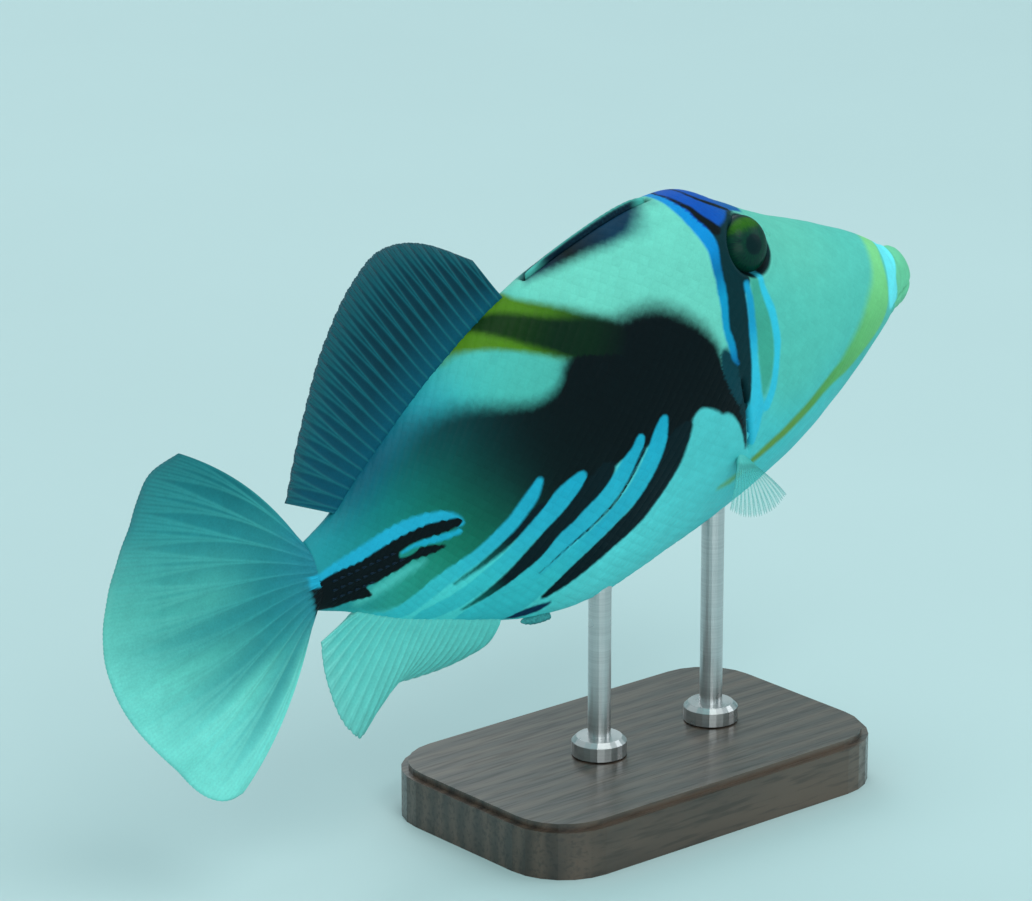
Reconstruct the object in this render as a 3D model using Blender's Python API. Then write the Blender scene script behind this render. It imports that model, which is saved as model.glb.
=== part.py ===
"""Picasso triggerfish, life size, as a still display model on a plain stand.

The fish is drawn straight first, in fish space, in millimetres: x runs back from the tip of the
snout, y to the fish's left and z up from the body axis. pose() then bends the stalk and the tail,
pitches the nose up and lifts the fish over its stand. The world's origin lies on the floor under
the middle of the base, +X is the way the fish faces and +Z is up.
"""

import math

import bmesh
import bpy
import numpy as np
from mathutils import Matrix, Vector

MM = 0.001
GAP = 0.3  # clear space between neighbouring pieces
SIDES = ((-1, "right"), (1, "left"))

# Body lengths
BODY_LENGTH = 173.0  # snout tip to the root of the tail fin
POSE_STATION = 80.0  # the station that stands over the world's origin
AXIS_HEIGHT = 88.0  # body axis over the floor at that station
NOSE_UP = math.radians(10.6)
STALK_TURN = math.radians(5.0)  # the stalk turns a little to the right
STALK_BEND = (125.0, 160.0)
TAIL_TURN = math.radians(26.0)  # and the tail fin trails to the left
TAIL_BEND = (170.0, 226.0)

# Outlines: (station, height) for the back and belly, (station, half width) for the sides
BACK = [(5, 9.4), (12, 14.9), (25, 22.7), (43, 32.2), (52, 38.1), (60, 43.1), (67, 44.7), (76, 45.2),
        (90, 43.7), (118, 36.4), (134, 28.8), (150, 19.8), (158, 15.2), (165, 10.8), (173, 8.2)]
BELLY = [(5, -6.0), (25, -18.6), (40, -25.8), (56, -30.6), (80, -34.8), (100, -36.9),
         (116, -34.5), (136, -26.8), (156, -17.2), (165, -11.6), (173, -7.6)]
HALF_WIDTH = [(5, 4.9), (12, 8.0), (25, 11.8), (40, 15.2), (56, 16.8), (70, 17.2), (85, 16.2),
              (115, 12.4), (145, 7.4), (160, 5.2), (173, 3.4)]
SNOUT_ROUND = 5.0  # length over which the lips close to the tip
SNOUT_MID = 1.2
WIDEST_AT = 0.54  # height of the widest line, as a share of the body's depth
BROW_STATION = 57.0  # the head is squarer on top between the eyes
BROW_REACH = 11.0

# Where the body is parted
LIP_CUT = 6.4
MOUTH_SLOPE = -0.42  # the mouth line falls toward its corners
GILL_CUT = 60.5  # station of the gill opening at axis height
GILL_SLANT = 0.18  # it runs back as it rises
STALK_CUT = 151.0

# Eyes
EYE_CENTRE = (54.0, 9.8, 30.3)
EYE_RADII = (6.8, 4.8, 6.8)
EYE_TILT = math.radians(14.0)  # the eyes look a little upward

# Folded first dorsal fin in its groove
TRIGGER_FRONT = 71.0
TRIGGER_REAR = 105.0
TRIGGER_PROUD = 0.9
TRIGGER_SUNK = 2.0
TRIGGER_WIDTH = 1.8

# Rough spine at the end of the belly keel
PELVIC_FRONT = 112.5
PELVIC_LENGTH = 7.5
PELVIC_RADIUS = 1.1

# Soft fins: (share of the base, ray length)
FIN_THICKNESS = 0.8
FIN_CLEAR = 0.5  # the fins' first row stands this far off the back and belly
DORSAL_BASE = (112.5, 165.0)
DORSAL_RAYS = [(0, 10), (0.1, 20), (0.25, 28), (0.42, 29), (0.6, 25), (0.8, 18.5), (1, 12.5)]
DORSAL_LEAN = [(0, 26), (0.5, 30), (0.8, 38), (1, 58)]  # degrees back from upright
ANAL_BASE = (126.0, 164.0)
ANAL_RAYS = [(0, 8), (0.1, 12), (0.25, 15.5), (0.38, 17.5), (0.47, 20.5), (0.55, 24.4), (0.6, 25.6),
             (0.68, 24.5), (0.85, 17), (1, 9)]
ANAL_LEAN = [(0, 28), (0.25, 36), (0.38, 37.5), (0.5, 36.5), (0.6, 39.5), (0.7, 46.5), (0.85, 60),
             (1, 77)]  # degrees back from straight down
ANAL_FOLD = math.radians(62.0)  # the tips of the front rays curl to the left
TAIL_SPREAD = math.radians(66.0)
TAIL_CURL = math.radians(30.5)  # the outer rays curve back toward the axis
TAIL_RAYS = [(0, 48.7), (0.6, 44.9), (0.88, 43.7), (1, 40)]  # from the middle ray to an edge
TAIL_PLEAT = 1.1

# Pectoral fins: base line and first and last ray, given for the fish's right side
PECTORAL_BASE = ((60.0, -19.0), (66.0, -15.0))
PECTORAL_FIRST = (0.08, -0.99, -0.14)
PECTORAL_LAST = (0.70, -0.52, -0.50)
PECTORAL_RAYS = [(0, 12.5), (0.35, 14.2), (0.7, 13.4), (1, 11.2)]

# Stand
BASE_SIZE = (98.0, 60.0, 12.0)
BASE_CORNER = 14.0
BASE_BEVEL = 1.5
ROD_RADIUS = 2.5
COLLAR_RADIUS = 6.0
COLLAR_HEIGHT = 4.0
ROD_STATIONS = {"front": 64.0, "rear": 98.0}
ROD_DEPTH = 7.0  # how far a rod reaches into the body

RING_POINTS = 28


# ---------------------------------------------------------------- curves and body section

def smooth(points, x):
    """Cubic through (place, value) points, with the slope of each neighbouring pair shared."""
    px, py = np.array(points, float).T
    slope = np.gradient(py, px)
    x = np.clip(np.asarray(x, float), px[0], px[-1])
    i = np.clip(np.searchsorted(px, x) - 1, 0, len(px) - 2)
    h = px[i + 1] - px[i]
    s = (x - px[i]) / h
    return ((2 * s**3 - 3 * s**2 + 1) * py[i] + (s**3 - 2 * s**2 + s) * h * slope[i]
            + (3 * s**2 - 2 * s**3) * py[i + 1] + (s**3 - s**2) * h * slope[i + 1])


def ease(x, start, end):
    """0 before start, 1 past end, with a level start and finish."""
    s = np.clip((x - start) / (end - start), 0, 1)
    return s * s * (3 - 2 * s)


def snout_share(x):
    """How far the snout has opened at a station: a quarter circle from the tip."""
    s = np.clip(x / SNOUT_ROUND, 0, 1)
    return np.sqrt(1 - (1 - s) ** 2)


def outline(x):
    """Top, bottom and half width of the body at a station."""
    share = snout_share(x)
    top = SNOUT_MID + (smooth(BACK, x) - SNOUT_MID) * share
    bottom = SNOUT_MID + (smooth(BELLY, x) - SNOUT_MID) * share
    return top, bottom, smooth(HALF_WIDTH, x) * share


def section(x, t):
    """Body surface at a station x and an angle t, from 0 at the back round by the left side."""
    top, bottom, width = outline(x)
    middle = bottom + (top - bottom) * WIDEST_AT
    brow = np.exp(-(((x - BROW_STATION) / BROW_REACH) ** 2))
    c = np.cos(t)
    upper = c > 0
    power = np.where(upper, 2.0 + 1.2 * brow, 1.9)
    root = np.where(upper, 1.7 + 0.35 * brow, 1.35)
    z = middle + np.where(upper, top - middle, middle - bottom) * c
    y = width * np.clip(1 - np.abs(c) ** power, 0, 1) ** (1 / root) * np.sign(np.sin(t))
    return y, z


def side_width(x, z):
    """Half width of the body at a station and height."""
    top, bottom, _ = outline(x)
    middle = bottom + (top - bottom) * WIDEST_AT
    c = np.where(z > middle, (z - middle) / (top - middle), (z - middle) / (middle - bottom))
    y, _ = section(x, np.arccos(np.clip(c, -1, 1)))
    return y


# ---------------------------------------------------------------- pose

def pose(points):
    """Fish space in millimetres to the world in metres."""
    x, y, z = np.asarray(points, float).T
    rail = np.linspace(-20, 260, 561)
    tail = np.clip((rail - TAIL_BEND[0]) / (TAIL_BEND[1] - TAIL_BEND[0]), 0, 1.2)
    turn = TAIL_TURN * tail**1.5 - STALK_TURN * ease(rail, *STALK_BEND)
    step = rail[1] - rail[0]
    forward = -np.concatenate([[0], np.cumsum(np.cos(turn[:-1]))]) * step
    left = np.concatenate([[0], np.cumsum(np.sin(turn[:-1]))]) * step
    forward -= np.interp(POSE_STATION, rail, forward)
    angle = np.interp(x, rail, turn)
    world_x = np.interp(x, rail, forward) + y * np.sin(angle)
    world_y = np.interp(x, rail, left) + y * np.cos(angle)
    c, s = math.cos(NOSE_UP), math.sin(NOSE_UP)
    out = np.stack([world_x * c - z * s, world_y, z * c + world_x * s + AXIS_HEIGHT], -1)
    return out * MM


# ---------------------------------------------------------------- meshes and objects

def clear_scene():
    for old in list(bpy.data.objects):
        bpy.data.objects.remove(old, do_unlink=True)


def material(name, color, roughness, metallic=0.0):
    mat = bpy.data.materials.new(name)
    mat.use_nodes = True
    shader = mat.node_tree.nodes["Principled BSDF"]
    shader.inputs["Base Color"].default_value = (*color, 1.0)
    shader.inputs["Roughness"].default_value = roughness
    shader.inputs["Metallic"].default_value = metallic
    return mat


def add_object(name, mesh, mat, sharp=40.0):
    mesh.materials.clear()
    mesh.materials.append(mat)
    mesh.shade_smooth()
    mesh.set_sharp_from_angle(angle=math.radians(sharp))
    item = bpy.data.objects.new(name, mesh)
    bpy.context.scene.collection.objects.link(item)
    return item


def draft(verts, faces):
    """A bmesh from vertex places and faces."""
    work = bmesh.new()
    made = [work.verts.new(v) for v in verts]
    for face in faces:
        work.faces.new([made[i] for i in face])
    return work


def finish_mesh(name, work, place=pose):
    """Puts a bmesh drawn in millimetres into the world, with its faces pointing out."""
    for vert, spot in zip(work.verts, place([v.co for v in work.verts])):
        vert.co = spot
    work.normal_update()
    bmesh.ops.recalc_face_normals(work, faces=work.faces)
    mesh = bpy.data.meshes.new(name)
    work.to_mesh(mesh)
    work.free()
    return mesh


def upright(points):
    """World places in millimetres, for the stand, to metres."""
    return np.array(points) * MM


def loft(rings):
    """Rings of equal count, joined in order, with a fan of one face at each end."""
    count = len(rings[0])
    verts = np.concatenate(rings)
    faces = []
    for r in range(len(rings) - 1):
        for k in range(count):
            a, b = r * count + k, r * count + (k + 1) % count
            faces.append((a, b, b + count, a + count))
    faces.append(tuple(range(count))[::-1])
    faces.append(tuple(range((len(rings) - 1) * count, len(rings) * count)))
    return verts, faces


def plate(grid, thickness):
    """A fin: grid[i, j] is its middle surface, thickened both ways along its own normal."""
    du = np.gradient(grid, axis=0)
    dv = np.gradient(grid, axis=1)
    normal = np.cross(du, dv)
    normal /= np.linalg.norm(normal, axis=-1, keepdims=True)
    half = normal * np.asarray(thickness)[..., None] / 2
    n, m = grid.shape[:2]
    verts = np.concatenate([(grid + half).reshape(-1, 3), (grid - half).reshape(-1, 3)])
    faces = []
    for i in range(n - 1):
        for j in range(m - 1):
            a = i * m + j
            faces.append((a, a + m, a + m + 1, a + 1))
            faces.append((a + n * m, a + n * m + 1, a + n * m + m + 1, a + n * m + m))
    rim = [i * m for i in range(n)] + [(n - 1) * m + j for j in range(1, m)]
    rim += [i * m + m - 1 for i in range(n - 2, -1, -1)] + list(range(m - 2, 0, -1))
    for a, b in zip(rim, rim[1:] + rim[:1]):
        faces.append((b, a, a + n * m, b + n * m))
    return verts, faces


def cutter(name, mesh, target):
    """A hidden object that a Boolean takes away from its target."""
    item = bpy.data.objects.new(name, mesh)
    bpy.context.scene.collection.objects.link(item)
    item.hide_render = True
    item.display_type = "WIRE"
    cut = target.modifiers.new(name, "BOOLEAN")
    cut.operation = "DIFFERENCE"
    cut.solver = "EXACT"
    cut.object = item
    return item


# ---------------------------------------------------------------- body

def body_stations():
    """Ring stations: close together at the lips, wider along the trunk."""
    lips = SNOUT_ROUND * (1 - np.cos(np.linspace(0.28, math.pi / 2, 5)))
    head = np.linspace(SNOUT_ROUND, GILL_CUT, 12)[1:]
    trunk = np.linspace(GILL_CUT, STALK_CUT, 17)[1:]
    stalk = np.linspace(STALK_CUT, BODY_LENGTH, 7)[1:]
    return np.concatenate([lips, head, trunk, stalk])


def whole_body():
    """The straight body as one closed bmesh, in fish space."""
    t = np.arange(RING_POINTS) * 2 * math.pi / RING_POINTS
    rings = []
    for x in body_stations():
        y, z = section(x, t)
        rings.append(np.stack([np.full_like(y, x), y, z], -1))
    return draft(*loft(rings))


def part_off(body, name, planes, mat):
    """One piece of the body: the side of each plane (point, outward normal) that is kept."""
    piece = body.copy()
    for point, normal in planes:
        cut = bmesh.ops.bisect_plane(
            piece, geom=piece.verts[:] + piece.edges[:] + piece.faces[:], dist=1e-5,
            plane_co=point, plane_no=normal, clear_outer=True)
        edges = [e for e in cut["geom_cut"] if isinstance(e, bmesh.types.BMEdge)]
        bmesh.ops.edgeloop_fill(piece, edges=edges)
    return add_object(name, finish_mesh(name, piece), mat)


def across(x, facing, slant=0.0):
    """A cutting plane across the body, half a gap short of the station it cuts the axis at."""
    return (x - facing * GAP / 2, 0, 0), (facing, 0, -facing * slant)


def mouth_plane(side):
    """The mouth line's plane, half a gap to one side of it: 1 keeps what is under it."""
    up = Vector((-MOUTH_SLOPE, 0, 1)).normalized()
    return Vector((0, 0, SNOUT_MID)) - up * side * GAP / 2, up * side


def make_body(skin, lip_skin):
    body = whole_body()
    lips = across(LIP_CUT, 1)
    part_off(body, "upper_lip", [lips, mouth_plane(-1)], lip_skin)
    part_off(body, "lower_lip", [lips, mouth_plane(1)], lip_skin)
    gill_front, gill_rear = across(GILL_CUT, 1, GILL_SLANT), across(GILL_CUT, -1, GILL_SLANT)
    head = part_off(body, "head", [across(LIP_CUT, -1), gill_front], skin)
    trunk = part_off(body, "trunk", [gill_rear, across(STALK_CUT, 1)], skin)
    part_off(body, "tail_stalk", [across(STALK_CUT, -1)], skin)
    body.free()
    return head, trunk


# ---------------------------------------------------------------- eyes

def eye_ball(side, grow):
    """An ellipsoid in fish space, tilted up, made larger by grow for its socket."""
    ball = bmesh.new()
    bmesh.ops.create_uvsphere(ball, u_segments=20, v_segments=12, radius=1.0)
    radii = [r + grow for r in EYE_RADII]
    x, y, z = EYE_CENTRE
    turn = (Matrix.Translation((x, side * y, z)) @ Matrix.Rotation(side * EYE_TILT, 4, "X")
            @ Matrix.Diagonal((*radii, 1.0)) @ Matrix.Rotation(math.pi / 2, 4, "X"))
    bmesh.ops.transform(ball, matrix=turn, verts=ball.verts)
    return finish_mesh("eye", ball)


def make_eyes(head, mat):
    for side, word in SIDES:
        add_object(f"eye_{word}", eye_ball(side, 0), mat)
        cutter(f"cut_eye_{word}", eye_ball(side, GAP), head)


# ---------------------------------------------------------------- fins

def base_line(curve, base, count):
    """Stations along a fin's base and the body's height there."""
    x = np.linspace(base[0], base[1], count)
    return x, smooth(curve, x)


def soft_dorsal():
    u = np.linspace(0, 1, 17)[:, None]
    v = np.linspace(0, 1, 6)[None, :]
    x, z = base_line(BACK, DORSAL_BASE, 17)
    lean = np.radians(smooth(DORSAL_LEAN, u))
    length = smooth(DORSAL_RAYS, u) * v
    wave = length * 0.07 + 0.8 * np.sin(2 * math.pi * (1.6 * u + 0.1)) * v**2
    grid = np.stack([x[:, None] + length * np.sin(lean), wave,
                     z[:, None] + FIN_CLEAR + length * np.cos(lean)], -1)
    return plate(grid, np.full(grid.shape[:2], FIN_THICKNESS))


def anal_fin():
    u = np.linspace(0, 1, 17)[:, None]
    v = np.linspace(0, 1, 7)[None, :]
    x, z = base_line(BELLY, ANAL_BASE, 17)
    lean = np.radians(smooth(ANAL_LEAN, u))
    fold = ANAL_FOLD * (1 - ease(u, 0.35, 0.7)) + 1e-3
    length = smooth(ANAL_RAYS, u)
    side = (1 - np.cos(fold * v)) / fold
    down = np.sin(fold * v) / fold
    grid = np.stack([x[:, None] + length * v * np.sin(lean), length * side * np.cos(lean),
                     z[:, None] - FIN_CLEAR - length * down * np.cos(lean)], -1)
    return plate(grid, np.full(grid.shape[:2], FIN_THICKNESS))


def curved_ray(start, curl, v):
    """A ray of unit length that leaves at an angle and loses curl on the way, as arc points."""
    curl = np.where(np.abs(curl) < 1e-4, 1e-4, curl)
    end = start - curl * v
    return (np.sin(start) - np.sin(end)) / curl, (np.cos(end) - np.cos(start)) / curl


def tail_fin():
    s = np.linspace(-1, 1, 25)[:, None]
    v = np.linspace(0, 1, 8)[None, :]
    top, bottom, _ = outline(BODY_LENGTH)
    middle, half = (top + bottom) / 2, (top - bottom) / 2 - 0.4
    length = smooth(TAIL_RAYS, np.abs(s))
    along, across_ray = curved_ray(TAIL_SPREAD * s, TAIL_CURL * s, v)
    pleat = TAIL_PLEAT * np.sin(5 * math.pi * s) * np.clip(0.2 - s, 0, 1) * v**1.5
    grid = np.stack([BODY_LENGTH + GAP + length * along, pleat,
                     middle + s * half + length * across_ray], -1)
    thickness = FIN_THICKNESS + 2.4 * (1 - v) ** 3 * np.ones_like(s)
    return plate(grid, thickness)


def pectoral_fin(side):
    """A fan of rays from a short base line behind the gill opening."""
    u = np.linspace(0, 1, 9)[:, None]
    v = np.linspace(0, 1, 6)[None, :]
    (x0, z0), (x1, z1) = PECTORAL_BASE
    x = x0 + (x1 - x0) * u
    z = z0 + (z1 - z0) * u
    y = side_width(x, z) + GAP + 0.35
    first, last = np.array(PECTORAL_FIRST), np.array(PECTORAL_LAST)
    way = first + (last - first) * u
    way /= np.linalg.norm(way, axis=-1, keepdims=True)
    length = smooth(PECTORAL_RAYS, u) * v
    base = np.stack([x, -y, z], -1)
    curl = 0.012 * length**2
    grid = base + length[..., None] * way[:, None, :] + curl[..., None] * np.array((0.7, 0, -0.5))
    grid[..., 1] *= -side
    return plate(grid, np.full(grid.shape[:2], FIN_THICKNESS))


def trigger_blade(grow):
    """The folded first dorsal fin as a low blade along the back, wider by grow for its groove."""
    u = np.linspace(0, 1, 13)
    x = TRIGGER_FRONT + (TRIGGER_REAR - TRIGGER_FRONT) * u
    x[0] -= grow
    x[-1] += grow
    back = smooth(BACK, x)
    proud = TRIGGER_PROUD * np.sqrt(np.clip(np.minimum(u / 0.12, (1 - u) / 0.75), 0, 1))
    high = back + proud + (4.0 if grow else 0.0)
    low = back - TRIGGER_SUNK - grow
    half = TRIGGER_WIDTH / 2 * (1 - 0.45 * u) + grow
    rings = []
    for i in range(len(x)):
        crest = half[i] * 0.45
        side = high[i] - 0.5
        rings.append(np.array([(x[i], -half[i], low[i]), (x[i], half[i], low[i]),
                               (x[i], half[i], side), (x[i], crest, high[i]),
                               (x[i], -crest, high[i]), (x[i], -half[i], side)]))
    return loft(rings)


def pelvic_knob(grow):
    """The short rough spine seated in the end of the belly keel, larger by grow for its seat."""
    rings = []
    turn = np.arange(10) * 2 * math.pi / 10
    for u in np.linspace(0, 1, 6):
        x = PELVIC_FRONT + PELVIC_LENGTH * u + grow * (2 * u - 1)
        radius = PELVIC_RADIUS * math.sqrt(max(1 - (1.6 * u - 0.6) ** 2, 0.06)) + grow
        z = smooth(BELLY, x) - 0.15 - 0.4 * u
        rings.append(np.stack([np.full_like(turn, x), radius * np.sin(turn),
                               z + radius * np.cos(turn)], -1))
    return loft(rings)


def make_fins(trunk, fin, tail, spine):
    add_object("dorsal_fin", finish_mesh("dorsal_fin", draft(*soft_dorsal())), fin)
    add_object("anal_fin", finish_mesh("anal_fin", draft(*anal_fin())), fin)
    add_object("tail_fin", finish_mesh("tail_fin", draft(*tail_fin())), tail)
    for side, word in SIDES:
        name = f"pectoral_fin_{word}"
        add_object(name, finish_mesh(name, draft(*pectoral_fin(side))), fin)
    add_object("trigger_fin", finish_mesh("trigger_fin", draft(*trigger_blade(0))), spine)
    cutter("cut_trigger", finish_mesh("cut_trigger", draft(*trigger_blade(GAP))), trunk)
    add_object("pelvic_spine", finish_mesh("pelvic_spine", draft(*pelvic_knob(0))), spine)
    cutter("cut_pelvic", finish_mesh("cut_pelvic", draft(*pelvic_knob(GAP))), trunk)


# ---------------------------------------------------------------- stand

def turned(name, profile, centre, count=24):
    """A closed turned mesh from (radius, height) points, bottom to top, round an upright axis."""
    turn = np.arange(count) * 2 * math.pi / count
    rings = [np.stack([r * np.cos(turn), r * np.sin(turn), np.full_like(turn, z)], -1)
             for r, z in profile]
    work = draft(*loft([ring + np.array(centre) for ring in rings]))
    return finish_mesh(name, work, upright)


def make_base(mat):
    """A rounded plate with a small bevel round its top."""
    length, width, height = BASE_SIZE
    slab = bmesh.new()
    corners = []
    for cx, cy, start in ((1, 1, 0), (-1, 1, 90), (-1, -1, 180), (1, -1, 270)):
        for step in range(7):
            a = math.radians(start + 15 * step)
            corners.append((cx * (length / 2 - BASE_CORNER) + BASE_CORNER * math.cos(a),
                            cy * (width / 2 - BASE_CORNER) + BASE_CORNER * math.sin(a)))
    face = slab.faces.new([slab.verts.new((x, y, 0)) for x, y in corners])
    grown = bmesh.ops.extrude_face_region(slab, geom=[face])
    top = [v for v in grown["geom"] if isinstance(v, bmesh.types.BMVert)]
    bmesh.ops.translate(slab, verts=top, vec=(0, 0, height))
    bmesh.ops.recalc_face_normals(slab, faces=slab.faces)
    rim = [e for e in slab.edges if all(v.co.z > height / 2 for v in e.verts)]
    bmesh.ops.bevel(slab, geom=rim, offset=BASE_BEVEL, segments=2, affect="EDGES")
    return add_object("stand_base", finish_mesh("stand_base", slab, upright), mat, sharp=50.0)


def make_rods(trunk, mat):
    """Each rod stands on the base in a collar and ends in a blind hole in the belly."""
    floor = BASE_SIZE[2] + GAP
    for word, station in ROD_STATIONS.items():
        _, bottom, _ = outline(station)
        foot = pose([(station, 0, bottom)])[0] / MM
        tip = foot[2] + ROD_DEPTH
        centre = (foot[0], 0, 0)
        profile = [(COLLAR_RADIUS, floor), (COLLAR_RADIUS, floor + COLLAR_HEIGHT - 1),
                   (COLLAR_RADIUS - 1, floor + COLLAR_HEIGHT), (ROD_RADIUS, floor + COLLAR_HEIGHT),
                   (ROD_RADIUS, tip)]
        name = f"stand_rod_{word}"
        add_object(name, turned(name, profile, centre), mat)
        hole = [(ROD_RADIUS + GAP, foot[2] - 12), (ROD_RADIUS + GAP, tip + GAP)]
        cutter(f"cut_rod_{word}", turned(f"cut_rod_{word}", hole, centre), trunk)


def main():
    clear_scene()
    skin = material("skin", (0.62, 0.78, 0.72), 0.45)
    lip_skin = material("lip_skin", (0.72, 0.66, 0.28), 0.45)
    fin = material("fin", (0.66, 0.82, 0.82), 0.4)
    tail = material("tail", (0.42, 0.5, 0.3), 0.45)
    spine = material("spine", (0.06, 0.07, 0.09), 0.5)
    eye = material("eye", (0.16, 0.15, 0.06), 0.1)
    wood = material("stand_wood", (0.07, 0.055, 0.05), 0.4)
    steel = material("stand_steel", (0.62, 0.62, 0.61), 0.3, 1.0)
    head, trunk = make_body(skin, lip_skin)
    make_eyes(head, eye)
    make_fins(trunk, fin, tail, spine)
    make_base(wood)
    make_rods(trunk, steel)


main()
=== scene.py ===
from math import cos, pi, radians, sin

import bpy
import numpy as np
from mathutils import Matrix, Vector


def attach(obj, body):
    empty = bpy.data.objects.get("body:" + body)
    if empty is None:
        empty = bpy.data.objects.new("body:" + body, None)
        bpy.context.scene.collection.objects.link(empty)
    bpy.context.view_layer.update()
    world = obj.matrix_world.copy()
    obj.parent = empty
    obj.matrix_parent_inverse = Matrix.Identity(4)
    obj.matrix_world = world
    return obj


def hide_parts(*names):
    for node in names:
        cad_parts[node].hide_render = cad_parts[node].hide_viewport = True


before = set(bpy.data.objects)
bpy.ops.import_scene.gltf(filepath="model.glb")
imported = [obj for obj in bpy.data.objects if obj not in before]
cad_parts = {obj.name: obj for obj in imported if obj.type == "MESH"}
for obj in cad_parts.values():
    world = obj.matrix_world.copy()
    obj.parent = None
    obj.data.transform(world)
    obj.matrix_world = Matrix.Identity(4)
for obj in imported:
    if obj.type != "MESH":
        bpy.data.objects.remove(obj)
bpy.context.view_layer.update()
print("frame loaded")

sides = ((-1, "Right"), (1, "Left"))
# Fish space is in millimetres: x runs back from the tip of the snout, y to the fish's left and z up.
# The curves and the pose are the ones the solids were made with.
body = {
    "length": 173, "poseStation": 80, "axisHeight": 88, "noseUp": radians(10.6), "stalkTurn": radians(5),
    "stalkBend": (125, 160), "tailTurn": radians(26), "tailBend": (170, 226),
    "back": [(5, 9.4), (12, 14.9), (25, 22.7), (43, 32.2), (52, 38.1), (60, 43.1), (67, 44.7), (76, 45.2),
        (90, 43.7), (118, 36.4), (134, 28.8), (150, 19.8), (158, 15.2), (165, 10.8), (173, 8.2)],
    "belly": [(5, -6), (25, -18.6), (40, -25.8), (56, -30.6), (80, -34.8), (100, -36.9), (116, -34.5),
        (136, -26.8), (156, -17.2), (165, -11.6), (173, -7.6)],
    "halfWidth": [(5, 4.9), (12, 8), (25, 11.8), (40, 15.2), (56, 16.8), (70, 17.2), (85, 16.2),
        (115, 12.4), (145, 7.4), (160, 5.2), (173, 3.4)],
    "snoutRound": 5, "snoutMiddle": 1.2, "widestAt": 0.54, "browStation": 57, "browReach": 11,
    # powers of the superellipse above the widest line, what the brow adds there, and below the line
    "heightPower": ((2.0, 1.2), 1.9), "widthPower": ((1.7, 0.35), 1.35),
}


# Running sum that starts at 0
def runSum(values):
    return np.concatenate([[0], np.cumsum(values)])


# Values side by side on a last axis, spread to a common shape
def stack(*parts):
    return np.stack(np.broadcast_arrays(*parts), -1)


# Square root of the summed squares
def lengthOf(vectors):
    return np.linalg.norm(vectors, axis=-1)


# Each vector over its length
def unit(vectors):
    return vectors / np.maximum(lengthOf(vectors)[..., None], 1e-9)


# Cubic through (place, value) points, with the slope of each neighbouring pair shared
def smoothCurve(points, x):
    px, py = np.array(points, float).T
    slope = np.gradient(py, px)
    x = np.clip(np.asarray(x, float), px[0], px[-1])
    i = np.clip(np.searchsorted(px, x) - 1, 0, len(px) - 2)
    h = px[i + 1] - px[i]
    s = (x - px[i]) / h
    return ((2 * s**3 - 3 * s**2 + 1) * py[i] + (s**3 - 2 * s**2 + s) * h * slope[i]
            + (3 * s**2 - 2 * s**3) * py[i + 1] + (s**3 - s**2) * h * slope[i + 1])


# 0 before start and 1 past end, level at both
def easeStep(x, start, end):
    s = np.clip((x - start) / (end - start), 0, 1)
    return s * s * (3 - 2 * s)


# Gaussian bell: e to the minus square of the distance over the reach
def bell(x, middle, reach):
    return np.exp(-((x - middle) / reach) ** 2)


# Top, bottom and half width at a station; the snout closes along a quarter circle
def outline(x):
    s = np.clip(x / body["snoutRound"], 0, 1)
    share = np.sqrt(1 - (1 - s) ** 2)
    middle = body["snoutMiddle"]
    top = middle + (smoothCurve(body["back"], x) - middle) * share
    bottom = middle + (smoothCurve(body["belly"], x) - middle) * share
    return top, bottom, smoothCurve(body["halfWidth"], x) * share


# Body surface at a station and an angle from 0 at the back round by the left side: a superellipse
# with its own powers above and below the widest line, fuller at the brow
def section(x, t):
    top, bottom, width = outline(x)
    middle = bottom + (top - bottom) * body["widestAt"]
    brow = bell(x, body["browStation"], body["browReach"])
    c = np.cos(t)
    upper = c > 0
    (high, highBrow), low = body["heightPower"]
    heightPower = np.where(upper, high + highBrow * brow, low)
    (high, highBrow), low = body["widthPower"]
    widthPower = np.where(upper, high + highBrow * brow, low)
    z = middle + np.where(upper, top - middle, middle - bottom) * c
    y = width * np.clip(1 - np.abs(c) ** heightPower, 0, 1) ** (1 / widthPower) * np.sign(np.sin(t))
    return y, z


# Half width of the body at a station and a height
def sideWidth(x, z):
    top, bottom, _ = outline(x)
    middle = bottom + (top - bottom) * body["widestAt"]
    c = np.where(z > middle, (z - middle) / (top - middle), (z - middle) / (middle - bottom))
    return section(x, np.arccos(np.clip(c, -1, 1)))[0]


# Fish space in millimetres to the world in metres: bend along a rail, pitch, lift
def posePoints(points):
    x, y, z = np.asarray(points, float).T
    rail = np.linspace(-20, 260, 561)
    start, end = body["tailBend"]
    tail = np.clip((rail - start) / (end - start), 0, 1.2)
    turn = body["tailTurn"] * tail**1.5 - body["stalkTurn"] * easeStep(rail, *body["stalkBend"])
    step = rail[1] - rail[0]
    forward = -runSum(np.cos(turn[:-1])) * step
    left = runSum(np.sin(turn[:-1])) * step
    forward -= np.interp(body["poseStation"], rail, forward)
    angle = np.interp(x, rail, turn)
    worldX = np.interp(x, rail, forward) + y * np.sin(angle)
    worldY = np.interp(x, rail, left) + y * np.cos(angle)
    c, s = cos(body["noseUp"]), sin(body["noseUp"])
    return stack(worldX * c - z * s, worldY, z * c + worldX * s + body["axisHeight"]) * 0.001


# Stations of the body and shares of the way from ridge to keel
tableStation = np.linspace(0, body["length"], 347)
tableShare = np.linspace(0, 1, 161)


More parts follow.
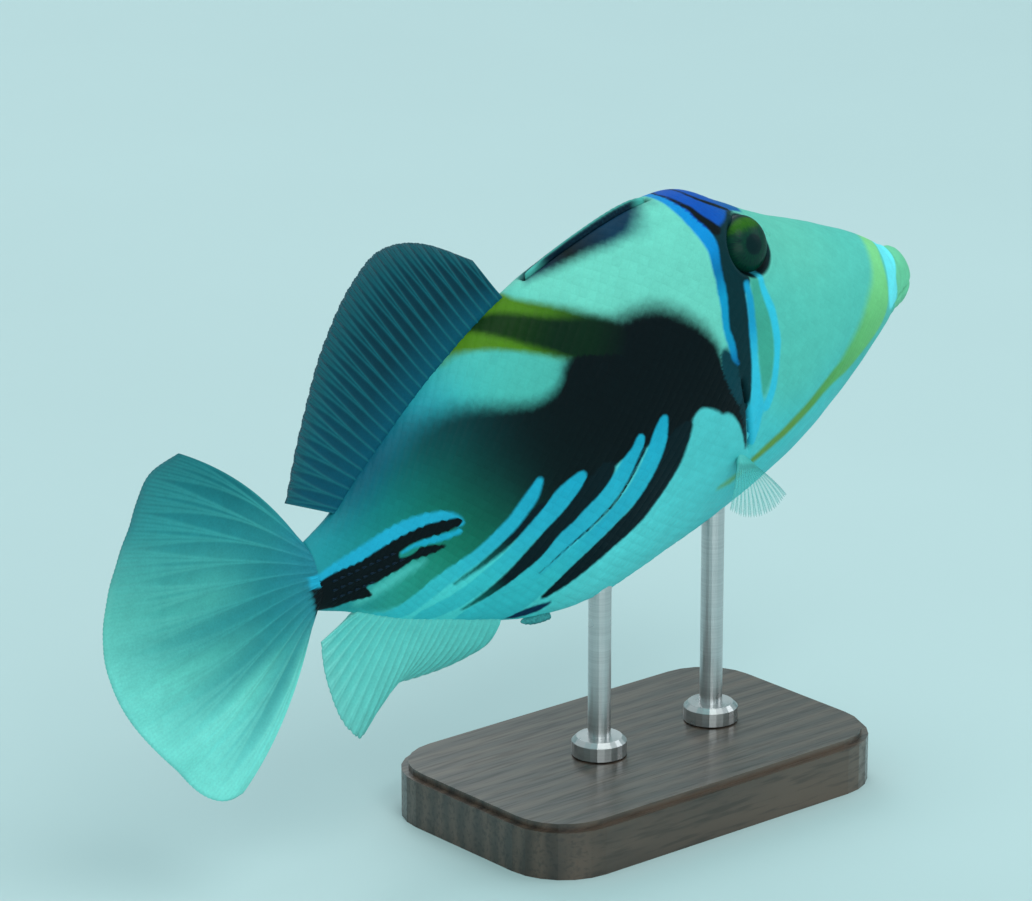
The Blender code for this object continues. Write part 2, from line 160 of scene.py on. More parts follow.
# The angle that reaches each share of the half girth, and the half girth, at each station: lengths of
# fine steps round the section are summed and read backwards
def measureBody():
    t = np.linspace(0, pi, 801)
    y, z = section(tableStation[:, None], t[None, :])
    step = np.hypot(np.diff(y, axis=1), np.diff(z, axis=1))
    run = np.concatenate([np.zeros((len(tableStation), 1)), np.cumsum(step, 1)], 1)
    run[0] = run[1] * 1e-3  # the snout's tip has no girth of its own
    girth = run[:, -1].copy()
    row = np.arange(len(tableStation))[:, None] * 2.0
    angle = np.interp((row + tableShare).ravel(), (row + run / girth[:, None]).ravel(),
                      np.tile(t, len(tableStation)))
    return angle.reshape(len(tableStation), -1), girth


angleTable, halfGirth = measureBody()


# Bilinear reading of the table of angles
def angleAt(x, share):
    row = np.clip(x / tableStation[1], 0, len(tableStation) - 1.001)
    column = np.clip(share * (len(tableShare) - 1), 0, len(tableShare) - 1.001)
    i, j = row.astype(int), column.astype(int)
    fi, fj = row - i, column - j
    near = angleTable[i, j] * (1 - fj) + angleTable[i, j + 1] * fj
    far = angleTable[i + 1, j] * (1 - fj) + angleTable[i + 1, j + 1] * fj
    return near * (1 - fi) + far * fi


# Half girth between the table's stations, on a straight line
def girthAt(x):
    return np.interp(x, tableStation, halfGirth)


# A place on the body from a station and a signed share: 0 is the ridge, 1 the keel by the left side
# and -1 the keel by the right side
def bodyPoint(x, w):
    x, w = np.broadcast_arrays(np.asarray(x, float), np.asarray(w, float))
    w = (w + 1) % 2 - 1
    y, z = section(x, angleAt(x, np.abs(w)))
    return stack(x, np.abs(y) * np.where(w < 0, -1, 1), z)


# Outward normal: the cross product of the steps along and round the body
def bodyNormal(x, w):
    x, w = np.broadcast_arrays(np.asarray(x, float), np.asarray(w, float))
    along = bodyPoint(np.minimum(x + 0.15, body["length"]), w) - bodyPoint(np.maximum(x - 0.15, 0.0), w)
    around = bodyPoint(x, w + 0.004) - bodyPoint(x, w - 0.004)
    return unit(np.cross(along, around))


eyeForm = {
    "centre": (54.4, 9.8, 30.3), "radii": (6.0, 4.6, 6.45),  # along, outward, up
    "tilt": radians(14.0), "lidReach": 7.3, "lidFold": (7.7, 0.12, 0.55), "bare": 7.9,
    "rings": 64, "round": 96,
}
skinForm = {
    "coatDepth": 0.28, "lipDepth": 0.08,  # how far the skin lies under the solid outline
    "mouthSlope": -0.42, "mouthDepth": 1.0, "mouthWidth": 0.5, "mouthCorner": 7.0,
    # a lip fold: how far behind the lip's edge it lies, its depth and its reach
    "lipEdge": 5.0, "lipFolds": ((0, 0.24, 0.55), (-1.9, 0.13, 0.4), (2.2, 0.16, 0.8)),
    "gill": ((64.4, 4.5), (61.5, -14.0)), "gillDepth": 1.0, "gillRim": 0.12, "gillFall": 0.22,
    "nostrils": ((46.4, 31.3), (45.1, 29.6)), "nostrilRim": 0.14, "nostrilDepth": 0.7, "swell": 0.05,
    "grooveSpan": (70.2, 106.0), "grooveHalf": (0.8, 1.4), "grooveDepth": 1.9,
    "finLobe": (62.8, -17.4, 3.0),
    "stations": 336, "round": 264, "snoutRings": 26, "capRings": 5, "capDepth": 1.2, "end": 172.5,
    # how much closer the points lie, where and how far: by station, and by share from ridge to keel
    "closeAlong": ((0.9, 7, 3), (0.5, 54, 9), (0.9, 63, 2.5)),
    "closeRound": ((0.9, 0.2, 0.1), (2.2, 0, 0.02), (1.0, 1, 0.02)),
}


# Distance of places from the eye's axis, their height along it and the axis
def eyeReach(place, side=1):
    out = np.array((0, side * cos(eyeForm["tilt"]), sin(eyeForm["tilt"])))
    away = place - np.array(eyeForm["centre"]) * (1, side, 1)
    height = away @ out
    return lengthOf(away - height[..., None] * out), height, out


# Signed distance behind the gill opening and how far along it a place lies, 0 to 1
def gillReach(x, z):
    (x0, z0), (x1, z1) = skinForm["gill"]
    run = np.array((x1 - x0, z1 - z0))
    size = np.hypot(*run)
    along = ((x - x0) * run[0] + (z - z0) * run[1]) / size**2
    behind = ((x - x0) * -run[1] + (z - z0) * run[0]) / size
    return behind, along


# The skin: the body surface sunk by the coat's depth, then lips, mouth, nostrils, gill opening and
# fin groove pressed in along the normal, and the orbit drawn in along the eye's axis
def shapeSkin(x, w):
    form = skinForm
    place = bodyPoint(x, w)
    normal = bodyNormal(x, w)
    x, y, z = place[..., 0], np.abs(place[..., 1]), place[..., 2]
    lift = -form["lipDepth"] - (form["coatDepth"] - form["lipDepth"]) * easeStep(x, 5.0, 8.0)
    corner = form["mouthCorner"]
    rise = (z - body["snoutMiddle"] - form["mouthSlope"] * x) * 0.922
    mouthEnd = 1 - easeStep(x, corner - 1.0, corner + 1.2)
    lift -= form["mouthDepth"] * bell(rise, 0, form["mouthWidth"]) * mouthEnd
    lipEdge = form["lipEdge"] + 1.7 * bell(rise, 0, 3.4) + 0.35 * (rise < 0)
    for behind, depth, reach in form["lipFolds"]:
        lift -= depth * bell(x, lipEdge + behind, reach)
    lift -= 0.35 * bell(rise, -0.3, 0.6) * bell(x, corner + 1.6, 1.5)
    for nx, nz in form["nostrils"]:  # a pit in a low rim
        reach = np.hypot(x - nx, z - nz)
        lift += form["nostrilRim"] * bell(reach, 0.95, 0.35) - form["nostrilDepth"] * bell(reach, 0, 0.5)
    behind, along = gillReach(x, z)
    slit = easeStep(along, -0.06, 0.06) * (1 - easeStep(along, 0.93, 1.07))
    lift += slit * (form["gillRim"] * bell(behind, -0.8, 0.7) - form["gillDepth"] * bell(behind, 0.1, 0.42)
                    - form["gillFall"] * np.exp(-np.clip(behind, 0, 9) / 1.4) * (behind > 0))
    start, end = form["grooveSpan"]
    lift -= (form["grooveDepth"] * (1 - easeStep(y, *form["grooveHalf"])) * (z > 20)
             * easeStep(x, start - 0.7, start + 0.7) * (1 - easeStep(x, end - 0.8, end + 0.8)))
    swell = np.sin(x * 0.55 + 0.8 * np.sin(z * 0.21)) * np.sin(z * 0.33 + 1.3)  # slow waves under the skin
    lift += form["swell"] * swell * easeStep(x, 9, 20)
    place = place + normal * lift[..., None]
    ridge, ridgeRise, ridgeWidth = eyeForm["lidFold"]
    for side, _ in sides:
        reach, height, out = eyeReach(place, side)
        ball = np.sqrt(np.clip(1 - (np.minimum(reach, 5.7) / 6.2)**2, 0, 1))
        sink = np.minimum(height, eyeForm["radii"][1] * ball - 0.4)
        held = easeStep(reach, 5.5, eyeForm["lidReach"])
        drawn = (sink * (1 - held) + height * held - height) * (height > -3)
        drawn += ridgeRise * bell(reach, ridge, ridgeWidth) * (height > 0)
        place = place + out * drawn[..., None]
    return place


# A part is a dictionary: points, corners (vertex numbers face by face), sizes (corners in each
# face), uv by corner, and named values by vertex
def faceStarts(sizes):
    return runSum(sizes)[:-1]


# The (row, column) corners of each cell of a grid, in order round the cell
def cellCorners(rows, columns):
    i, j = np.meshgrid(np.arange(rows), np.arange(columns), indexing="ij")
    corners = [stack(i, j), stack(i, j + 1), stack(i + 1, j + 1), stack(i + 1, j)]
    return np.stack(corners, 2).reshape(-1, 4, 2)


# Volume by fans from each face's first corner; a negative one means that the shape is inside out
def turnOutward(part):
    points, corners, sizes = part["points"], part["corners"], part["sizes"]
    starts = faceStarts(sizes)
    face = np.repeat(np.arange(len(sizes)), sizes)
    place = np.arange(len(corners)) - starts[face]
    inner = np.flatnonzero((place > 0) & (place < sizes[face] - 1))
    a, b, c = (points[corners[k]] for k in (starts[face[inner]], inner, inner + 1))
    middle = points.mean(0)
    if np.einsum("ij,ij->i", a - middle, np.cross(b - middle, c - middle)).sum() < 0:
        order = starts[face] + sizes[face] - 1 - place
        part["corners"] = corners[order]
        part["uv"] = part["uv"][order]
    return part


# Several parts as one: corner numbers are shifted past the points of the parts before
def joinParts(parts):
    shifts = runSum([len(part["points"]) for part in parts])
    for part, shift in zip(parts, shifts):
        part["corners"] = part["corners"] + shift
    joined = {key: np.concatenate([part[key] for part in parts])
              for key in ("points", "corners", "sizes", "uv")}
    joined["values"] = {key: np.concatenate([part["values"][key] for part in parts])
                        for key in parts[0]["values"]}
    return joined


# A loft of closed rings, rings[i, j], with a pole point at each end
def ringPart(rings, firstPole, lastPole, values=None):
    n, m = rings.shape[:2]
    spot = cellCorners(n - 1, m)
    quads = spot[..., 0] * m + spot[..., 1] % m
    j = np.arange(m)
    k = (j + 1) % m
    first = stack(n * m, k, j)
    last = stack(n * m + 1, (n - 1) * m + j, (n - 1) * m + k)
    ends = [stack(-0.02, (j + 0.5) / m), stack(0, (j + 1) / m), stack(0, j / m)]
    ends = [ends, [stack(1.02, (j + 0.5) / m), stack(1, j / m), stack(1, (j + 1) / m)]]
    part = {
        "points": np.concatenate([rings.reshape(-1, 3), [firstPole], [lastPole]]),
        "corners": np.concatenate([quads.ravel(), first.ravel(), last.ravel()]),
        "sizes": np.repeat([4, 3], [len(quads), 2 * m]),
        "uv": np.concatenate([spot.reshape(-1, 2) / (n - 1, m)]
                             + [np.stack(end, 1).reshape(-1, 2) for end in ends]) * 0.92 + 0.04,
        "values": {},
    }
    for key, value in (values or {}).items():
        value = np.broadcast_to(value, (n, m))
        part["values"][key] = np.concatenate([value.ravel(), [value[0].mean(), value[-1].mean()]])
    return part


# A thin closed plate: grid[i, j] is its middle surface, with half its thickness laid off both ways
def platePart(grid, half, values):
    offset = unit(np.cross(np.gradient(grid, axis=0), np.gradient(grid, axis=1))) * half[..., None]
    n, m = grid.shape[:2]
    spots = cellCorners(n - 1, m - 1)[:, [0, 3, 2, 1]]
    front = spots[..., 0] * m + spots[..., 1]
    back = front[:, ::-1] + n * m
    rim = np.concatenate([np.arange(n) * m, (n - 1) * m + np.arange(1, m),
                          np.arange(n - 2, -1, -1) * m + m - 1, np.arange(m - 2, 0, -1)])
    after = np.roll(rim, -1)
    edge = stack(after, rim, rim + n * m, after + n * m)

    def lay(spots, left):
        return (spots / (n - 1.0, m - 1.0) * (0.46, 0.94) + (left, 0.03)).reshape(-1, 2)

    return {
        "points": np.concatenate([(grid + offset).reshape(-1, 3), (grid - offset).reshape(-1, 3)]),
        "corners": np.concatenate([front.ravel(), back.ravel(), edge.ravel()]),
        "sizes": np.full(len(front) * 2 + len(edge), 4),
        "uv": np.concatenate([lay(spots, 0.02), lay(spots[:, ::-1], 0.52),
                              lay(stack(edge % (n * m) // m, edge % m), 0.02)]),
        "values": {key: np.concatenate([value.reshape((n * m,) + value.shape[2:])] * 2)
                   for key, value in values.items()},
    }


# Writes an array into mesh data as one flat run
def fillData(data, key, values, kind=np.float32):
    data.foreach_set(key, np.ascontiguousarray(values).ravel().astype(kind))


# Poses a part drawn in fish space and makes it a piece of the object
def addPiece(name, part, material, nodes):
    part["points"] = posePoints(part["points"])
    turnOutward(part)
    mesh = bpy.data.meshes.new(name)
    mesh.vertices.add(len(part["points"]))
    fillData(mesh.vertices, "co", part["points"])
    mesh.loops.add(len(part["corners"]))
    fillData(mesh.loops, "vertex_index", part["corners"], np.int32)
    mesh.polygons.add(len(part["sizes"]))
    fillData(mesh.polygons, "loop_start", faceStarts(part["sizes"]), np.int32)
    mesh.update(calc_edges=True)
    flat = part.get("flat", np.zeros(len(part["sizes"]), bool))
    fillData(mesh.polygons, "use_smooth", ~flat, bool)
    if flat.any():
        edgeNumbers = np.empty(len(mesh.loops), np.int32)
        mesh.loops.foreach_get("edge_index", edgeNumbers)
        sharp = np.zeros(len(mesh.edges), bool)
        sharp[edgeNumbers[np.repeat(flat, part["sizes"])]] = True
        fillData(mesh.edges, "use_edge_sharp", sharp, bool)
    fillData(mesh.uv_layers.new(name="OFBake").uv, "vector", part["uv"])
    for key, value in part["values"].items():
        if value.ndim == 2:
            colour = np.concatenate([value, np.ones((len(value), 1))], 1)
            fillData(mesh.attributes.new(key, "FLOAT_COLOR", "POINT").data, "color", colour)
        else:
            fillData(mesh.attributes.new(key, "FLOAT", "POINT").data, "value", value)
    mesh.update()
    mesh.materials.append(material)
    piece = bpy.data.objects.new(name, mesh)
    bpy.context.scene.collection.objects.link(piece)
    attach(piece, "root")
    if nodes:
        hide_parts(*nodes)
    print(f"{name}: {int((part['sizes'] - 2).sum())} triangles")


# Colours of the skin, fins, spines and eyes, as seen on a screen from 0 to 255
palette = {
    "cream": (106, 196, 179), "foreheadCream": (94, 184, 166), "cheek": (84, 184, 171),
    "snoutShade": (62, 178, 176), "lowerCheek": (70, 192, 196), "belly": (84, 202, 205),
    "bellyLow": (92, 212, 214), "palePatch": (72, 168, 157), "palePatchRear": (74, 182, 174),
    "pectoralArea": (80, 190, 192), "flankAqua": (33, 148, 162), "flankShade": (3, 80, 102),
    "stalkAqua": (36, 142, 150), "bellyRear": (76, 204, 204), "royal": (3, 74, 168),
    "crownTeal": (3, 92, 150), "blueHigh": (4, 132, 200), "borderBlue": (4, 106, 158),
    "blueLow": (10, 142, 186), "blueEnd": (4, 104, 160), "lineTop": (22, 150, 192),
    "lineBlue": (50, 186, 212), "snoutWhite": (104, 222, 232), "stalkBlue": (30, 160, 192),
    "stripeTip": (24, 160, 190), "stripeTop": (38, 168, 192), "stripeEnd": (54, 184, 192),
    "yellowTop": (126, 206, 138), "yellow": (108, 190, 122), "yellowRear": (88, 168, 96),
    "ochre": (86, 154, 78), "orange": (98, 148, 68), "lips": (104, 190, 150),
    "betweenLines": (62, 158, 138), "goldRim": (74, 122, 22), "goldDeep": (10, 46, 10),
    "olive": (4, 34, 18), "black": (1, 13, 17), "bandBlack": (2, 42, 48), "rearInk": (1, 18, 20),
    "rearDark": (1, 20, 23), "rearTeal": (1, 34, 41), "rearMoss": (6, 78, 70), "rearGreen": (10, 110, 88),
    "rearSage": (18, 126, 108), "rearPale": (24, 142, 128), "lowMoss": (8, 86, 70),
    "lowOlive": (14, 108, 84), "lowSage": (24, 126, 104), "lowPale": (34, 144, 126),
    "lowAqua": (52, 160, 144), "upperTeal": (1, 50, 62), "upperGrey": (2, 76, 90),
    "upperAqua": (6, 96, 110), "greyWedge": (4, 56, 66), "gapBlack": (1, 24, 30), "gapOlive": (12, 106, 98),
    "orbit": (1, 34, 38), "orangeMark": (104, 172, 108), "ridgeTeal": (1, 46, 70), "keelBlue": (1, 46, 76),
    "finTeal": (2, 74, 94), "finAqua": (14, 94, 106), "finDeep": (1, 50, 64), "finHaze": (8, 66, 80),
    "rayGrey": (24, 100, 108), "finMint": (88, 188, 182), "finPale": (102, 196, 188),
    "finShade": (56, 150, 152), "rayWhite": (136, 214, 206), "tailRoot": (34, 122, 138),
    "tailStem": (56, 150, 150), "tailLow": (104, 200, 188), "tailMiddle": (70, 160, 154),
    "tailHigh": (14, 98, 106), "tailFold": (36, 126, 132), "tailPale": (122, 222, 212),
    "tailRayLow": (128, 220, 208), "tailRayMiddle": (84, 172, 164), "tailRayHigh": (40, 124, 128),
    "spineDark": (2, 26, 42), "spineWorn": (18, 62, 76), "crestAqua": (70, 166, 156),
    # eyeOlive and eyeGold: the iris's gold with painted light from above
    "bellyHorn": (72, 176, 174), "eyeDeep": (1, 36, 36), "eyeGreen": (2, 62, 42), "eyeOlive": (28, 82, 16),
    "eyeGold": (46, 98, 18), "eyePupil": (1, 30, 32), "eyeRim": (1, 36, 40),
}


# Screen colour to linear light
def linear(colour):
    c = np.asarray(colour, float) / 255
    return np.where(c <= 0.04045, c / 12.92, ((c + 0.055) / 1.055) ** 2.4)


# Linear light of a named colour
def tone(name):
    return linear(palette[name])


# Smooth mixture of named colours set out over the side: weights are Gaussian bells of the distance
def blendTones(anchors, x, z, reach=7.0):
    total = np.zeros(x.shape)
    colour = np.zeros(x.shape + (3,))
    for ax, az, name in anchors:
        weight = np.exp(-((x - ax) ** 2 + (z - az) ** 2) / (2 * reach**2)) + 1e-9
        total += weight
        colour += weight[..., None] * np.array(palette[name])
    return linear(colour / total[..., None])


# Named colours evenly spaced from 0 to 1, mixed on straight lines between them
def coloursAlong(names, share):
    colours = np.array([tone(name) for name in names])
    at = np.linspace(0, 1, len(colours))
    return stack(*[np.interp(share, at, column) for column in colours.T])


# A row of control points resampled at an even spacing along a smooth curve
def resample(points, spacing=0.35):
    points = np.array(points, float)
    run = runSum(lengthOf(np.diff(points[:, :-1], axis=0)))
    s = np.linspace(0, run[-1], int(run[-1] / spacing) + 2)
    return stack(*[smoothCurve(list(zip(run, column)), s) for column in points.T]), s / run[-1]


# Each mark is a function of places that gives their distance past the mark's edge, in units of the
# edge's softness (negative inside), and the mark's colour there
def pathMark(path, share, soft, names):
    spots, half = path[:, :3], path[:, 3]
    low, high = spots.min(0) - half.max() - 6 * soft, spots.max(0) + half.max() + 6 * soft

    def mark(place):
        edge = np.full(len(place), 9.0)
        colour = np.zeros((len(place), 3))
        near = np.flatnonzero(((place > low) & (place < high)).all(1))
        for part in np.array_split(near, len(near) // 20000 + 1):
            gap = np.sqrt(((place[part, None, :] - spots[None]) ** 2).sum(-1)) - half
            best = gap.argmin(1)
            edge[part] = gap[np.arange(len(part)), best] / soft
            colour[part] = coloursAlong(names, share[best])
        return edge, colour

    return mark


# A line on the side from (station, height, half width) points
def sideLine(soft, points, *names):
    path, share = resample(points)
    x, height, half = path.T
    top, bottom, _ = outline(x)
    z = np.clip(height, bottom, top)
    return pathMark(stack(x, sideWidth(x, z), z, half), share, soft, names)


# A line over the crown from (station, half breadth, half width) points, laid on the body's upper half
def crownLine(soft, points, *names):
    path, share = resample(points)
    x, breadth, half = path.T
    y, z = section(x[:, None], np.linspace(0, pi / 2, 400)[None, :])
    pick = np.abs(y - breadth[:, None]).argmin(1)
    return pathMark(stack(x, breadth, z[np.arange(len(path)), pick], half), share, soft, names)


# An area with a closed outline of points, each with a softness of its own or the shared one; corners
# are cut twice to round it. A place is inside if a line from it crosses the outline an odd number of
# times
def areaMark(soft, points, anchors, top=False):
    ring = np.array([(*point, soft)[:3] for point in points], float)
    for _ in range(2):
        after = np.roll(ring, -1, axis=0)
        ring = np.stack([ring * 0.75 + after * 0.25, ring * 0.25 + after * 0.75], 1).reshape(-1, 3)
    low, high = ring[:, :2].min(0) - 12, ring[:, :2].max(0) + 12

    def mark(place):
        flatPlace = place[:, [0, 1 if top else 2]]
        within = ((flatPlace > low) & (flatPlace < high)).all(1)
        near = np.flatnonzero(within & (place[:, 2] > (25 if top else -99)))
        a, b = flatPlace[near].T
        best = np.full(len(near), 1e9)
        blur = np.ones(len(near))
        inside = np.zeros(len(near), bool)
        for p, q in zip(ring, np.roll(ring, -1, axis=0)):
            run = q - p
            s = ((a - p[0]) * run[0] + (b - p[1]) * run[1]) / (run[0]**2 + run[1]**2 + 1e-12)
            s = np.clip(s, 0, 1)
            gap = np.hypot(a - p[0] - s * run[0], b - p[1] - s * run[1])
            closer = gap < best
            best = np.where(closer, gap, best)
            blur = np.where(closer, p[2] + run[2] * s, blur)
            crossed = (p[1] > b) != (q[1] > b)
            inside ^= crossed & (a < run[0] * (b - p[1]) / (run[1] + 1e-12) + p[0])
        edge = np.full(len(place), 9.0)
        edge[near] = np.where(inside, -best, best) / blur
        colour = np.zeros((len(place), 3))
        colour[near] = blendTones(anchors, place[near, 0], place[near, 2])
        return edge, colour

    return mark


# A band along the ridge from (station, half breadth) points, its front end fading in
def ridgeMark(soft, points, *names):
    def mark(place):
        x, y, z = place.T
        start, end = points[0][0], points[-1][0]
        blur = soft * (1 + 2.0 * (1 - easeStep(x, start + 2, start + 10)))
        edge = (y - smoothCurve(points, x)) / blur
        beyond = np.maximum(start - x, x - end) / blur
        edge = np.where(z > 20, np.maximum(edge, beyond), 9.0)
        return np.clip(edge, -9, 9), coloursAlong(names, np.clip((x - start) / (end - start), 0, 1))

    return mark


# A ring round the eye
def orbitMark(soft, radius, name):
    def mark(place):
        reach, height, _ = eyeReach(place)
        edge = np.where(height > -4, (reach - radius) / soft, 9.0)
        return np.clip(edge, -9, 9), np.broadcast_to(tone(name), place.shape)

    return mark


baseTones = [
    (84, 38, "cream"), (72, 34, "cream"), (98, 38, "cream"), (76, 30, "cream"), (64, 34, "cream"),
    (44, 31, "foreheadCream"), (34, 24, "foreheadCream"), (24, 17, "cheek"), (36, 10, "cheek"),
    (50, 16, "cheek"), (26, 2, "cheek"), (44, -2, "cheek"), (14, 2, "cheek"), (22, -9, "snoutShade"),
    (36, -14, "lowerCheek"), (50, -20, "lowerCheek"), (60, -24, "lowerCheek"), (70, -10, "pectoralArea"),
    (76, -6, "pectoralArea"), (72, -20, "belly"), (84, -20, "belly"), (90, -30, "bellyLow"),
    (105, -32, "bellyLow"), (116, 24, "palePatch"), (126, 27, "palePatchRear"), (138, 24, "flankAqua"),
    (148, 18, "flankShade"), (158, 12, "flankShade"), (168, 6, "stalkAqua"), (166, -4, "stalkAqua"),
    (158, -14, "bellyRear"), (148, -18, "bellyRear"), (136, -24, "bellyRear"), (120, -30, "bellyRear"),
]
darkTones = [
    (76, 14, "black"), (86, 20, "black"), (88, 8, "black"), (98, 16, "black"), (104, 6, "black"),
    (72, 4, "black"), (106, 16, "black"), (115, 10, "rearInk"), (110, 0, "rearInk"), (125, 8, "rearDark"),
    (130, 10, "rearTeal"), (135, 8, "rearMoss"), (140, 6, "rearGreen"), (146, 6, "rearSage"),
    (155, 6, "rearPale"), (140, 16, "upperTeal"), (150, 14, "upperGrey"), (158, 11, "upperAqua"),
    (130, 0, "lowMoss"), (136, -4, "lowOlive"), (145, -8, "lowSage"), (150, -11, "lowPale"),
    (155, -12, "lowAqua"), (166, 4, "stalkAqua"), (164, -9, "stalkAqua"),
]
